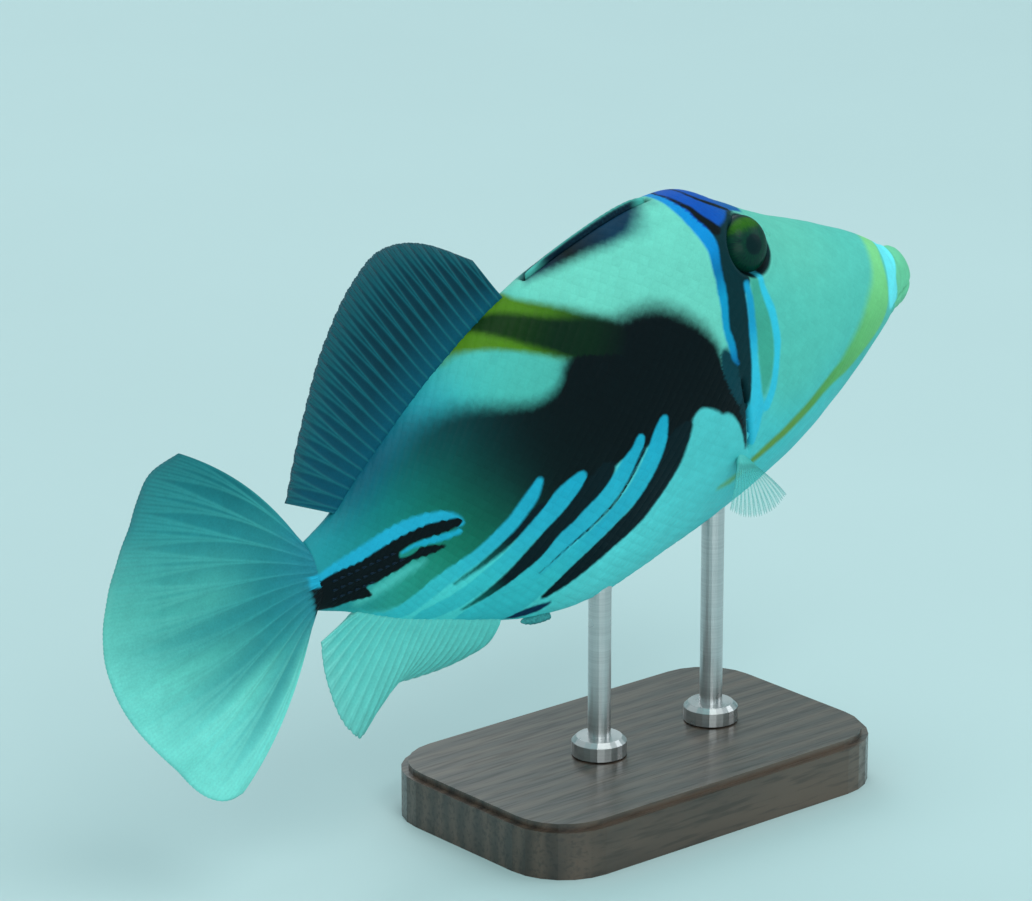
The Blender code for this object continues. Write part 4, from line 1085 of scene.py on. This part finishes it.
# Lengths and leans are in millimetres and degrees by share of the base; film, tones and rayTones run
# from root to margin
dorsalForm = {
    "base": (112.5, 165),
    "lengths": [(0, 10), (0.1, 20), (0.25, 28), (0.42, 29), (0.6, 25), (0.8, 18.5), (1, 12.5)],
    "lean": [(0, 26), (0.5, 30), (0.8, 38), (1, 58)], "rootFade": 1.6, "rays": 25, "wave": 0.8,
    "forks": [(0.12, 0.23), (0.6, 0.1)], "rayWidth": 0.11, "notch": 0.012, "columns": 451, "rows": 44,
    "root": 1.6, "filmHalf": 0.06, "rayHalf": 0.18, "rootHalf": 0.5,
    "film": (0.995, 0.995, 0.99, 0.975, 0.94, 0.72), "raySolid": 0.99, "rootScale": 20,
    "tones": [("finTeal", "finTeal", "finTeal"), ("finDeep", "finDeep", "finTeal"),
        ("finDeep", "finDeep", "finTeal"), ("finHaze", "finHaze", "finHaze")],
    "rayTones": [("finAqua", "finAqua", "finAqua"), ("finAqua", "finAqua", "rayGrey"),
        ("rayGrey", "rayGrey", "rayGrey")],
}
analForm = {
    "base": (126, 164),
    "lengths": [(0, 8), (0.1, 12), (0.25, 15.5), (0.38, 17.5), (0.47, 20.5), (0.55, 24.4), (0.6, 25.6),
        (0.68, 24.5), (0.85, 17), (1, 9)],
    "lean": [(0, 28), (0.25, 36), (0.38, 37.5), (0.5, 36.5), (0.6, 39.5), (0.7, 46.5), (0.85, 60), (1, 77)],
    "rootFade": 1.6, "fold": radians(62), "rays": 22, "forks": [(0.5, 0.17)], "rayWidth": 0.12,
    "notch": 0.015, "columns": 309, "rows": 36, "root": 1.6, "filmHalf": 0.06, "rayHalf": 0.18,
    "rootHalf": 0.5, "film": (0.97, 0.96, 0.94, 0.9, 0.72), "raySolid": 0.97, "rootScale": 16,
    "tones": [("finMint", "finMint", "finMint"), ("finMint", "finPale", "finMint"),
        ("finMint", "finPale", "finPale")],
    "rayTones": [("finMint", "finPale", "finPale"), ("finPale", "finPale", "rayWhite")],
}
tailForm = {
    "spread": radians(66), "curl": radians(30.5),
    "rootEdges": ((-8.6, -7.6), (-1.7, -0.9), (1.2, 2.2)),  # heights where patch and border begin and end
    "lengths": [(0, 48.7), (0.6, 44.9), (0.88, 43.7), (1, 40)], "pleat": 1.1, "rays": 12,
    "forks": [(0.12, 0.25), (0.36, 0.125), (0.62, 0.0625)], "rayWidth": 0.07, "notch": 0.008,
    "columns": 601, "rows": 60, "root": 3, "filmHalf": 0.08, "rayHalf": 0.2, "rootHalf": 2.9, "rootFade": 6,
    "film": (0.995, 0.995, 0.995, 0.99, 0.97, 0.78), "raySolid": 0.99, "rootScale": 30,
    "tones": [("tailRoot",) * 6, ("tailLow", "tailStem", "tailFold", "tailFold", "tailFold", "tailFold"),
        ("tailPale", "tailLow", "tailMiddle", "tailMiddle", "tailFold", "tailHigh"),
        ("tailPale", "tailPale", "tailLow", "tailMiddle", "tailFold", "tailHigh"),
        ("tailPale", "tailPale", "tailPale", "tailLow", "tailFold", "tailHigh")],
    "rayTones": [("tailRoot",) * 6,
        ("tailRayLow", "tailRayMiddle", "tailStem", "tailStem", "tailStem", "tailStem"),
        ("tailRayLow", "tailRayLow", "tailRayMiddle", "tailRayMiddle", "tailStem", "tailRayHigh"),
        ("tailRayLow", "tailRayLow", "tailRayLow", "tailRayMiddle", "tailStem", "tailRayHigh")],
}
pectoralForm = {
    "base": ((60, -19), (66, -15)), "first": (0.08, -0.99, -0.14), "last": (0.7, -0.52, -0.5),
    "curl": 0.012, "rootFade": 2.2, "lengths": [(0, 12.5), (0.35, 14.2), (0.7, 13.4), (1, 11.2)],
    "rays": 13, "forks": [(0.45, 0.2)], "rayWidth": 0.12, "notch": 0.1, "columns": 183, "rows": 32,
    "root": 2.2, "standOff": 0.65, "filmHalf": 0.05, "rayHalf": 0.16, "rootHalf": 0.75,
    "film": (0.75, 0.3, 0.18, 0.13, 0.1), "raySolid": 0.66, "rootScale": 10,
    "tones": [("finMint", "finMint"), ("finPale", "finPale")],
    "rayTones": [("finMint", "finMint"), ("finShade", "finShade")],
}


# Shared by the fins: places across and along, the reach from the base with a root inside the body,
# and a margin drawn in a little between the rays
def finGrid(form):
    u = np.linspace(0, 1, form["columns"])[:, None]
    run = np.linspace(0, 1, form["rows"])[None, :]
    length = smoothCurve(form["lengths"], u)
    edge = rayRidge(form["rays"], u, np.ones_like(u), form["forks"], form["rayWidth"] * 1.6)
    drawn = length * (1 - form["notch"] * (1 - edge))
    reach = -form["root"] + (drawn + form["root"]) * run
    v = reach / length
    ridge = rayRidge(form["rays"], u, np.clip(v, 0, 1), form["forks"], form["rayWidth"])
    ridge = ridge * (1 - easeStep(v, 0.96, 1.0) * 0.8)
    taper = 1 - 0.68 * np.clip(v, 0, 1)
    half = form["filmHalf"] + (form["rayHalf"] - form["filmHalf"]) * ridge * taper
    return u, v, reach, length, half, finValues(form, u, v, ridge)


# Where the fin leaves the body it thickens into a fleshy root
def rootFlesh(form, reach, curve=1.0):
    return form["rootHalf"] * np.exp(-(np.clip(reach, 0, 99) / form["rootFade"]) ** curve)


# Rays lean back from the ridge; the reach is laid off along each, with a slow wave across the fin
def makeDorsalFin(material):
    form = dorsalForm
    u, v, reach, _, half, values = finGrid(form)
    x = form["base"][0] + (form["base"][1] - form["base"][0]) * u
    lean = np.radians(smoothCurve(form["lean"], u))
    ahead = np.clip(v, 0, None)
    wave = np.clip(reach, 0, None) * 0.07 + form["wave"] * np.sin(2 * pi * (1.6 * u + 0.1)) * ahead**2
    wave += 0.13 * np.cos(2 * pi * form["rays"] * u) * np.sqrt(ahead)
    grid = stack(x + reach * np.sin(lean), wave, smoothCurve(body["back"], x) + 0.5 + reach * np.cos(lean))
    part = platePart(grid, half + rootFlesh(form, reach), values)
    addPiece("dorsalFin", part, material, ("dorsal_fin",))


# Each ray follows an arc that folds to the left, less toward the rear
def makeAnalFin(material):
    form = analForm
    u, v, reach, length, half, values = finGrid(form)
    x = form["base"][0] + (form["base"][1] - form["base"][0]) * u
    lean = np.radians(smoothCurve(form["lean"], u))
    fold = form["fold"] * (1 - easeStep(u, 0.35, 0.7)) + 1e-3
    aside = (1 - np.cos(fold * v)) / fold
    down = np.sin(fold * v) / fold
    ripple = 0.12 * np.cos(2 * pi * form["rays"] * u) * np.sqrt(np.clip(v, 0, None))
    grid = stack(x + length * v * np.sin(lean), length * aside * np.cos(lean) + ripple,
                 smoothCurve(body["belly"], x) - 0.5 - length * down * np.cos(lean))
    part = platePart(grid, half + rootFlesh(form, reach), values)
    addPiece("analFin", part, material, ("anal_fin",))


# A fan of arcs from the stalk's end: each leaves at its own angle and bends back toward the axis
def makeTailFin(material):
    form = dict(tailForm, lengths=[((1 - s) / 2, r) for s, r in tailForm["lengths"][::-1]]
                + [((1 + s) / 2, r) for s, r in tailForm["lengths"][1:]])
    u, v, reach, length, half, values = finGrid(form)
    s = 2 * u - 1
    top, bottom, _ = outline(body["length"])
    middle, halfHeight = (top + bottom) / 2, (top - bottom) / 2 - 0.4
    start = form["spread"] * s
    curl = form["curl"] * s
    curl = np.where(np.abs(curl) < 1e-4, 1e-4, curl)
    end = start - curl * v
    along = (np.sin(start) - np.sin(end)) / curl
    across = (np.cos(end) - np.cos(start)) / curl
    ahead = np.clip(v, 0, None)
    pleat = form["pleat"] * np.sin(5 * pi * s) * np.clip(0.2 - s, 0, 1) * ahead**1.5
    pleat += 0.2 * np.cos(2 * pi * form["rays"] * u) * np.sqrt(ahead) * (1 - ahead * 0.5)
    inside = 1 - easeStep(-reach, 0.0, form["root"]) * 0.25
    height = middle + s * halfHeight * inside + length * across * np.where(v < 0, 0.3, 1)
    grid = stack(body["length"] + 0.3 + length * along, pleat, height)
    flesh = np.sqrt(np.clip(1.02 - s**2, 0, 1)) * rootFlesh(form, reach, 1.3)
    # shade in the pleats; the stalk's black patch and blue border run a little way onto the root
    fade = easeStep(0.3 - s, 0, 0.35) * np.sin(pi * np.clip(ahead, 0, 1) ** 0.7) * 0.7
    fade = fade * (0.5 + 0.5 * np.sin(5 * pi * s + 0.5 * pi))
    onRoot = 1 - easeStep(reach + 0.25 * np.sin(s * 40), 1.3, 2.3)
    low, border, high = (easeStep(height, *span) for span in form["rootEdges"])
    black = onRoot * low * (1 - border)
    blue = onRoot * border * (1 - high)
    for key, depth in (("tint", 1.0), ("rayTint", 0.6)):
        for share, name in ((fade * depth, "tailFold"), (black, "black"), (blue, "stalkBlue")):
            values[key] = values[key] * (1 - share[..., None]) + tone(name) * share[..., None]
    addPiece("tailFin", platePart(grid, half + flesh, values), material, ("tail_fin",))


# A short fan from a slanting base line behind the gill opening, given for the right side
def makePectoralFin(side, word, material):
    form = pectoralForm
    u, _, reach, _, half, values = finGrid(form)
    (x0, z0), (x1, z1) = form["base"]
    x, z = x0 + (x1 - x0) * u, z0 + (z1 - z0) * u
    way = unit(np.array(form["first"]) + (np.array(form["last"]) - np.array(form["first"])) * u)
    base = stack(x, -(sideWidth(x, z) + form["standOff"]), z)
    curl = form["curl"] * np.clip(reach, 0, None) ** 2
    grid = base + reach[..., None] * way[:, None, :] + curl[..., None] * np.array((0.7, 0, -0.5))
    grid[..., 1] *= -side
    flesh = rootFlesh(form, reach, 1.5) * np.sin(pi * np.clip(u * 0.94 + 0.03, 0, 1)) ** 0.5
    addPiece(f"pectoralFin{word}", platePart(grid, half + flesh, values), material,
             (f"pectoral_fin_{word.lower()}",))


# Film and rays in their own colours, see-through where the film is thin
def finMaterial(name, roughness):
    material = startMaterial(name)
    colour = mix(power(readValue("ray"), 1.4), readTone("tint"), readTone("rayTint"))
    blotch = noise(420.0, 3.0)
    fine = noise(2300.0, 2.0)
    light = times(mapRange(blotch, 0.3, 0.7, 0.97, 1.03), mapRange(fine, 0.3, 0.7, 0.94, 1.06))
    thin = times(readValue("solid"), mapRange(blotch, 0.3, 0.7, 0.98, 1.02))
    finishMaterial(fine, 0.3, 0.00008, {
        "Base Color": scaleTone(colour, light), "Alpha": mapRange(thin, 0, 1, 0, 1),
        "Roughness": mapRange(fine, 0.25, 0.75, roughness - 0.06, roughness + 0.1),
        "Specular IOR Level": 0.10})
    return material


finFilm = finMaterial("finFilm", 0.36)
makeDorsalFin(finFilm)
makeAnalFin(finFilm)
makeTailFin(finMaterial("tailFilm", 0.42))
for side, word in sides:
    makePectoralFin(side, word, finFilm)
print("fins made")


# Places along a loft and angles round it
def loftPlaces(form):
    turn = np.arange(form["round"]) * 2 * pi / form["round"]
    return np.linspace(0, 1, form["stations"])[:, None], turn[None, :]


triggerForm = {
    "span": (71.0, 105.0), "proud": 0.8, "sunk": 1.9, "half": 0.85, "filmFrom": (0.55, 0.72),
    "knob": 0.09, "crease": 0.16, "neck": 0.32, "crest": 0.7, "stations": 150, "round": 20,
}


# The folded first dorsal: a tapering rough spine with its film creased behind it, as a loft of
# flattened rings that ride on the ridge line
def makeTriggerFin(material):
    form = triggerForm
    u, turn = loftPlaces(form)
    start, end = form["span"]
    x = start + (end - start) * u
    proud = form["proud"] * np.sqrt(np.clip(np.minimum(u / 0.12, (1 - u) / 0.75), 0.004, 1))
    high = smoothCurve(body["back"], x) + proud
    low = smoothCurve(body["back"], x) - form["sunk"]
    half = form["half"] * (1 - 0.45 * u) * np.sqrt(np.clip(u / 0.03, 0.05, 1))
    half = half * np.sqrt(np.clip((1 - u) / 0.04, 0.05, 1))
    spine = 1 - easeStep(u, *form["filmFrom"])
    c, s = np.cos(turn), np.sin(turn)
    # the spine's roughness: small knobs toward the front edge, then creases of film toward the rear
    knob = form["knob"] * np.sin(u * 260) * np.sin(3 * turn + u * 60) * spine
    crease = form["crease"] * np.sin(u * 34 + 2.5 * c) * (1 - spine)
    neck = 1 - form["neck"] * bell(c, 0.25, 0.22)
    y = half * s * neck * (1 + knob + crease)
    z = (high + low) / 2 + (high - low) / 2 * c * (1 + 0.02 * np.sin(u * 130) * spine * (c > 0.6))
    ends = [(at, 0, float((high + low)[row, 0] / 2)) for at, row in ((start, 0), (end, -1))]
    paleEnds = np.maximum(1 - easeStep(u, 0.03, 0.14), easeStep(u, 0.80, 0.96))
    values = {"wear": np.clip(knob * 6 + 0.5, 0, 1) * spine + 0.2 * (1 - spine),
              "crest": np.maximum(form["crest"] * easeStep(c, 0.75, 0.97), paleEnds), "flesh": 0.0}
    addPiece("triggerFin", ringPart(stack(x, y, z), *ends, values), material, ("trigger_fin",))


pelvicForm = {"front": 112.5, "length": 7.5, "radius": 1.1, "knob": 0.13, "stations": 60, "round": 24}


# The rough end of the belly keel: a spindle with rows of knobs
def makePelvicSpine(material):
    form = pelvicForm
    u, turn = loftPlaces(form)
    x = form["front"] + form["length"] * u
    radius = form["radius"] * np.sqrt(np.clip(1 - (1.6 * u - 0.6) ** 2, 0.02, 1))
    knob = form["knob"] * np.maximum(np.sin(u * 46), -0.3)
    radius = radius * (1 + knob * np.sin(4 * turn + 1.2 * (u * 7.3 // 1)))
    z = smoothCurve(body["belly"], x) - 0.15 - 0.4 * u
    rings = stack(x, radius * np.sin(turn), z + radius * np.cos(turn))
    values = {"wear": np.clip(radius / form["radius"], 0, 1), "crest": 0.0, "flesh": 1.0}
    addPiece("pelvicSpine", ringPart(rings, rings[0].mean(0), rings[-1].mean(0), values), material,
             ("pelvic_spine",))


stalkSpines = {
    # height on the side, first and last station and count of each row
    "rows": ((-1.3, 155.0, 169.5, 9), (-3.5, 153.0, 169.5, 10), (-5.7, 160.5, 169.5, 6)),
    "height": 0.5, "radius": 0.34, "lean": 0.7, "seat": 0.32, "round": 8, "stations": 5,
}


# Rows of small forward-hooked spines on each side of the stalk: cones whose tips lean ahead
def makeStalkSpines(side, word, material):
    form = stalkSpines
    cones = []
    run, turn = loftPlaces(form)
    out = np.array((0, side, 0.0))
    radius = form["radius"] * (1 - run) ** 0.8 + 0.03
    for z, start, end, count in form["rows"]:
        for x in np.linspace(start, end, count):
            base = np.array((x, side * float(sideWidth(np.array(x), np.array(z))), z))
            centre = base + out * (run[..., None] * form["height"] - form["seat"])
            centre = centre - np.array((1, 0, 0)) * (form["lean"] * run[..., None] ** 1.8)
            rings = centre + stack(radius * np.cos(turn) * 1.3, 0, radius * np.sin(turn))
            cones.append(turnOutward(ringPart(rings, rings[0].mean(0), rings[-1].mean(0) + out * 0.03,
                                              {"wear": run * 0.12, "crest": 0.0, "flesh": 0.0})))
    addPiece(f"stalkSpines{word}", joinParts(cones), material, ())


# Dark horn, paler where it is worn, with a pale crest
def spineMaterial():
    material = startMaterial("spineHorn")
    grit = noise(1800.0, 4.0, 0.6)
    worn = times(readValue("wear"), mapRange(grit, 0.4, 0.7, 0.0, 1.0))
    colour = mix(worn, plain("spineDark"), plain("spineWorn"))
    colour = mix(readValue("flesh"), colour, mix(grit, plain("spineWorn"), plain("bellyHorn")))
    finishMaterial(grit, 0.5, 0.00015, {
        "Base Color": mix(readValue("crest"), colour, plain("crestAqua")),
        "Roughness": mapRange(grit, 0.3, 0.7, 0.38, 0.6), "Specular IOR Level": 0.12})
    return material


spineHorn = spineMaterial()
makeTriggerFin(spineHorn)
makePelvicSpine(spineHorn)
for side, word in sides:
    makeStalkSpines(side, word, spineHorn)
print("spines made")


# An ellipsoid of rings round the eye's axis
def makeEye(side, word, material):
    form = eyeForm
    slope = np.linspace(0.02, pi - 0.02, form["rings"])[:, None]
    turn = (np.arange(form["round"]) * 2 * pi / form["round"])[None, :]
    a, b, c = form["radii"]
    x = a * np.sin(slope) * np.cos(turn)
    up = c * np.sin(slope) * np.sin(turn)
    out = b * np.cos(slope) + 0 * turn
    axis = np.array((0, side * cos(form["tilt"]), sin(form["tilt"])))
    rise = np.array((0, -side * sin(form["tilt"]), cos(form["tilt"])))
    centre = np.array(form["centre"]) * (1, side, 1)
    rings = centre + x[..., None] * np.array((1, 0, 0)) + up[..., None] * rise + out[..., None] * axis
    part = ringPart(rings, centre + axis * b, centre - axis * b, {"eyeAlong": x / a, "eyeUp": up / c})
    addPiece(f"eye{word}", part, material, (f"eye_{word.lower()}",))


# Edges run from 0 at the pupil's middle to 1 at the rim
eyeLook = {
    "pupilEdge": (0.30, 0.40), "rimEdge": (0.86, 0.97), "capEdge": (0.36, 0.72), "capSlant": -0.08,
    "capWander": 0.05, "spokes": 9.0, "roughness": 0.45, "specular": 0.07, "coat": 0.07,
    "coatRoughness": 0.16,
}


# Painted under a thin clear coat: a dark green ball, an olive-gold cap on the upper part of the iris, which
# is the iris's gold with painted light from above, and a slightly darker pupil, with fine streaks that run
# out from it
def eyeMaterial():
    look = eyeLook
    material = startMaterial("eyeGlass")
    along, up = readValue("eyeAlong"), readValue("eyeUp")
    reach = addNode("Math", {0: plus(times(along, along), times(up, up))}, operation="SQRT")
    angle = addNode("Math", {0: up, 1: along}, operation="ARCTAN2")
    spokes = addNode("CombineXYZ", {0: times(angle, look["spokes"]), 1: times(reach, 2.0)})
    streak = noise(2.2, 3.0, 0.6, spokes)
    share = mapRange(streak, 0.35, 0.7, 0, 1)
    chord = plus(up, times(along, look["capSlant"]))  # the cap's edge is a slanting chord of the iris
    chord = plus(chord, mapRange(noise(900.0, 3.0), 0.3, 0.7, -look["capWander"], look["capWander"]))
    colour = mix(share, plain("eyeDeep"), plain("eyeGreen"))
    # the iris's gold with painted light from above: laid only on the upper part of the iris
    cap = mix(share, plain("eyeOlive"), plain("eyeGold"))
    colour = mix(mapSmooth(chord, *look["capEdge"], 0, 1), colour, cap)
    colour = mix(mapSmooth(reach, *look["pupilEdge"], 1, 0), colour, plain("eyePupil"))
    colour = mix(mapSmooth(reach, *look["rimEdge"], 0, 1), colour, plain("eyeRim"))
    finishMaterial(streak, 0.25, 0.0001, {
        "Base Color": colour, "Roughness": look["roughness"], "Specular IOR Level": look["specular"],
        "Coat Weight": look["coat"], "Coat Roughness": look["coatRoughness"]})
    return material


eyeGlass = eyeMaterial()
for side, word in sides:
    makeEye(side, word, eyeGlass)
print("eyes made")

# The stand's solids keep their shape and get wood and steel
standLook = {
    "woodDark": (0.030, 0.020, 0.014, 1), "woodLight": (0.085, 0.055, 0.038, 1),
    "steelDark": (0.42, 0.42, 0.43, 1), "steelLight": (0.66, 0.66, 0.66, 1),
}


# Grain: bands of stretched noise along the base, with pores
def woodMaterial():
    material = startMaterial("stainedWood")
    stretched = stretch(9.0, 75.0, 60.0)
    figure = noise(1.6, 4.0, 0.55, stretched)
    pores = noise(1.5, 2.0, at=stretch(60.0, 900.0, 700.0))
    wave = addNode("TexWave", {"Vector": stretched, "Scale": 0.8, "Distortion": 5.0, "Detail": 3.0,
                               "Detail Scale": 1.2}, "Fac", wave_type="BANDS", bands_direction="Y")
    blend = plus(times(figure, 0.6), times(wave, 0.4))
    colour = mix(mapRange(blend, 0.25, 0.75, 0, 1), standLook["woodDark"], standLook["woodLight"])
    finishMaterial(pores, 0.25, 0.0001, {
        "Base Color": scaleTone(colour, mapRange(pores, 0.35, 0.5, 0.6, 1.0)),
        "Roughness": mapRange(pores, 0.3, 0.6, 0.5, 0.32), "Coat Weight": 0.4, "Coat Roughness": 0.2})
    return material


# Turned steel: fine rings round the rods
def steelMaterial():
    material = startMaterial("turnedSteel")
    rings = noise(1.0, 3.0, at=stretch(30.0, 30.0, 4000.0))
    finishMaterial(rings, 0.12, 0.00004, {
        "Base Color": mix(rings, standLook["steelDark"], standLook["steelLight"]), "Metallic": 1.0,
        "Roughness": mapRange(noise(120.0, 2.0), 0.3, 0.7, 0.24, 0.38)})
    return material


finishes = {"stand_base": woodMaterial(), "stand_rod_front": steelMaterial()}
finishes["stand_rod_rear"] = finishes["stand_rod_front"]
for node, finish in finishes.items():
    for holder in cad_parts[node].material_slots:
        holder.material = finish
print("stand finished")

stageLook = {
    "rings": (0.3, 0.8, 1.5), "floorRadius": 2.2, "bowlRadius": 1.6, "floorTone": (0.46, 0.60, 0.61),
    "worldTone": (0.74, 0.90, 0.92), "worldStrength": 0.75,
}


# A round floor whose edge turns up into a bowl: a quarter circle profile carried round the middle
def makeStage():
    look = stageLook
    turn = np.linspace(0, pi / 2, 17)
    edge = look["floorRadius"] + look["bowlRadius"] * np.sin(turn)
    radius = np.concatenate([look["rings"], edge])[:, None]
    height = np.concatenate([[0, 0, 0], look["bowlRadius"] * (1 - np.cos(turn))])[:, None]
    about = np.linspace(0, 2 * pi, 96, endpoint=False)
    rings = stack(radius * np.cos(about), radius * np.sin(about), height)
    n, m = rings.shape[:2]
    spots = cellCorners(n - 1, m)[:, [0, 3, 2, 1]]
    faces = (spots[..., 0] * m + spots[..., 1] % m).tolist()
    mesh = bpy.data.meshes.new("floor")
    mesh.from_pydata(rings.reshape(-1, 3).tolist(), [], faces + [list(range(m))])
    mesh.shade_smooth()
    mesh.materials.append(startMaterial("floorPaint"))
    low, high = ((*[c * share for c in look["floorTone"]], 1) for share in (0.97, 1.02))
    setInputs(brush["shader"], {"Base Color": mix(noise(6.0, 3.0), low, high), "Roughness": 0.75})
    floor = bpy.data.objects.new("floor", mesh)
    bpy.context.scene.collection.objects.link(floor)
    world = bpy.data.worlds.new("studioAir")
    world.use_nodes = True
    air = world.node_tree.nodes["Background"]
    air.inputs[0].default_value = (*look["worldTone"], 1)
    air.inputs[1].default_value = look["worldStrength"]
    bpy.context.scene.world = world
    bpy.context.scene.view_settings.view_transform = "Standard"


# Places a light or the camera and turns it to a point
def aimItem(name, data, place, aim):
    item = bpy.data.objects.new(name, data)
    item.location = place
    item.rotation_mode = "QUATERNION"
    item.rotation_quaternion = (Vector(aim) - item.location).to_track_quat("-Z", "Y")
    bpy.context.scene.collection.objects.link(item)
    return item


lights = {  # place, size, power, tone
    "key": ((-0.35, -1.35, 1.75), 1.1, 12.5, (0.96, 1.0, 0.97)),
    "top": ((0.25, 0.25, 1.9), 1.4, 9.5, (0.92, 0.99, 1.0)),
    "fill": ((1.5, -0.9, 0.9), 1.2, 5.5, (0.92, 0.98, 1.0)),
    "low": ((-0.5, -1.1, 0.16), 0.8, 5.5, (0.92, 1.0, 1.0)),
    "rear": ((0.6, 1.6, 1.1), 1.2, 6.0, (0.94, 0.98, 1.0)),
}
cameraForm = {
    "place": (-0.65154, -0.72871, 0.38966), "aim": (-0.02135, 0.01543, 0.07916),
    "lens": 167.8, "sensor": 36.0, "near": 0.05, "far": 20,
}


# Round area lamps, all turned to the fish
def makeLights():
    for name, (place, size, watts, tint) in lights.items():
        lamp = bpy.data.lights.new(name, "AREA")
        lamp.shape = "DISK"
        lamp.size = size
        lamp.energy = watts
        lamp.color = tint
        aimItem(name, lamp, place, (0, 0, 0.08))


# A long lens that looks from the right, from behind and above
def makeCamera():
    view = bpy.data.cameras.new("camera")
    view.lens = cameraForm["lens"]
    view.sensor_width = cameraForm["sensor"]
    view.clip_start = cameraForm["near"]
    view.clip_end = cameraForm["far"]
    bpy.context.scene.camera = aimItem("camera", view, cameraForm["place"], cameraForm["aim"])


makeStage()
makeLights()
makeCamera()
print("stage set")
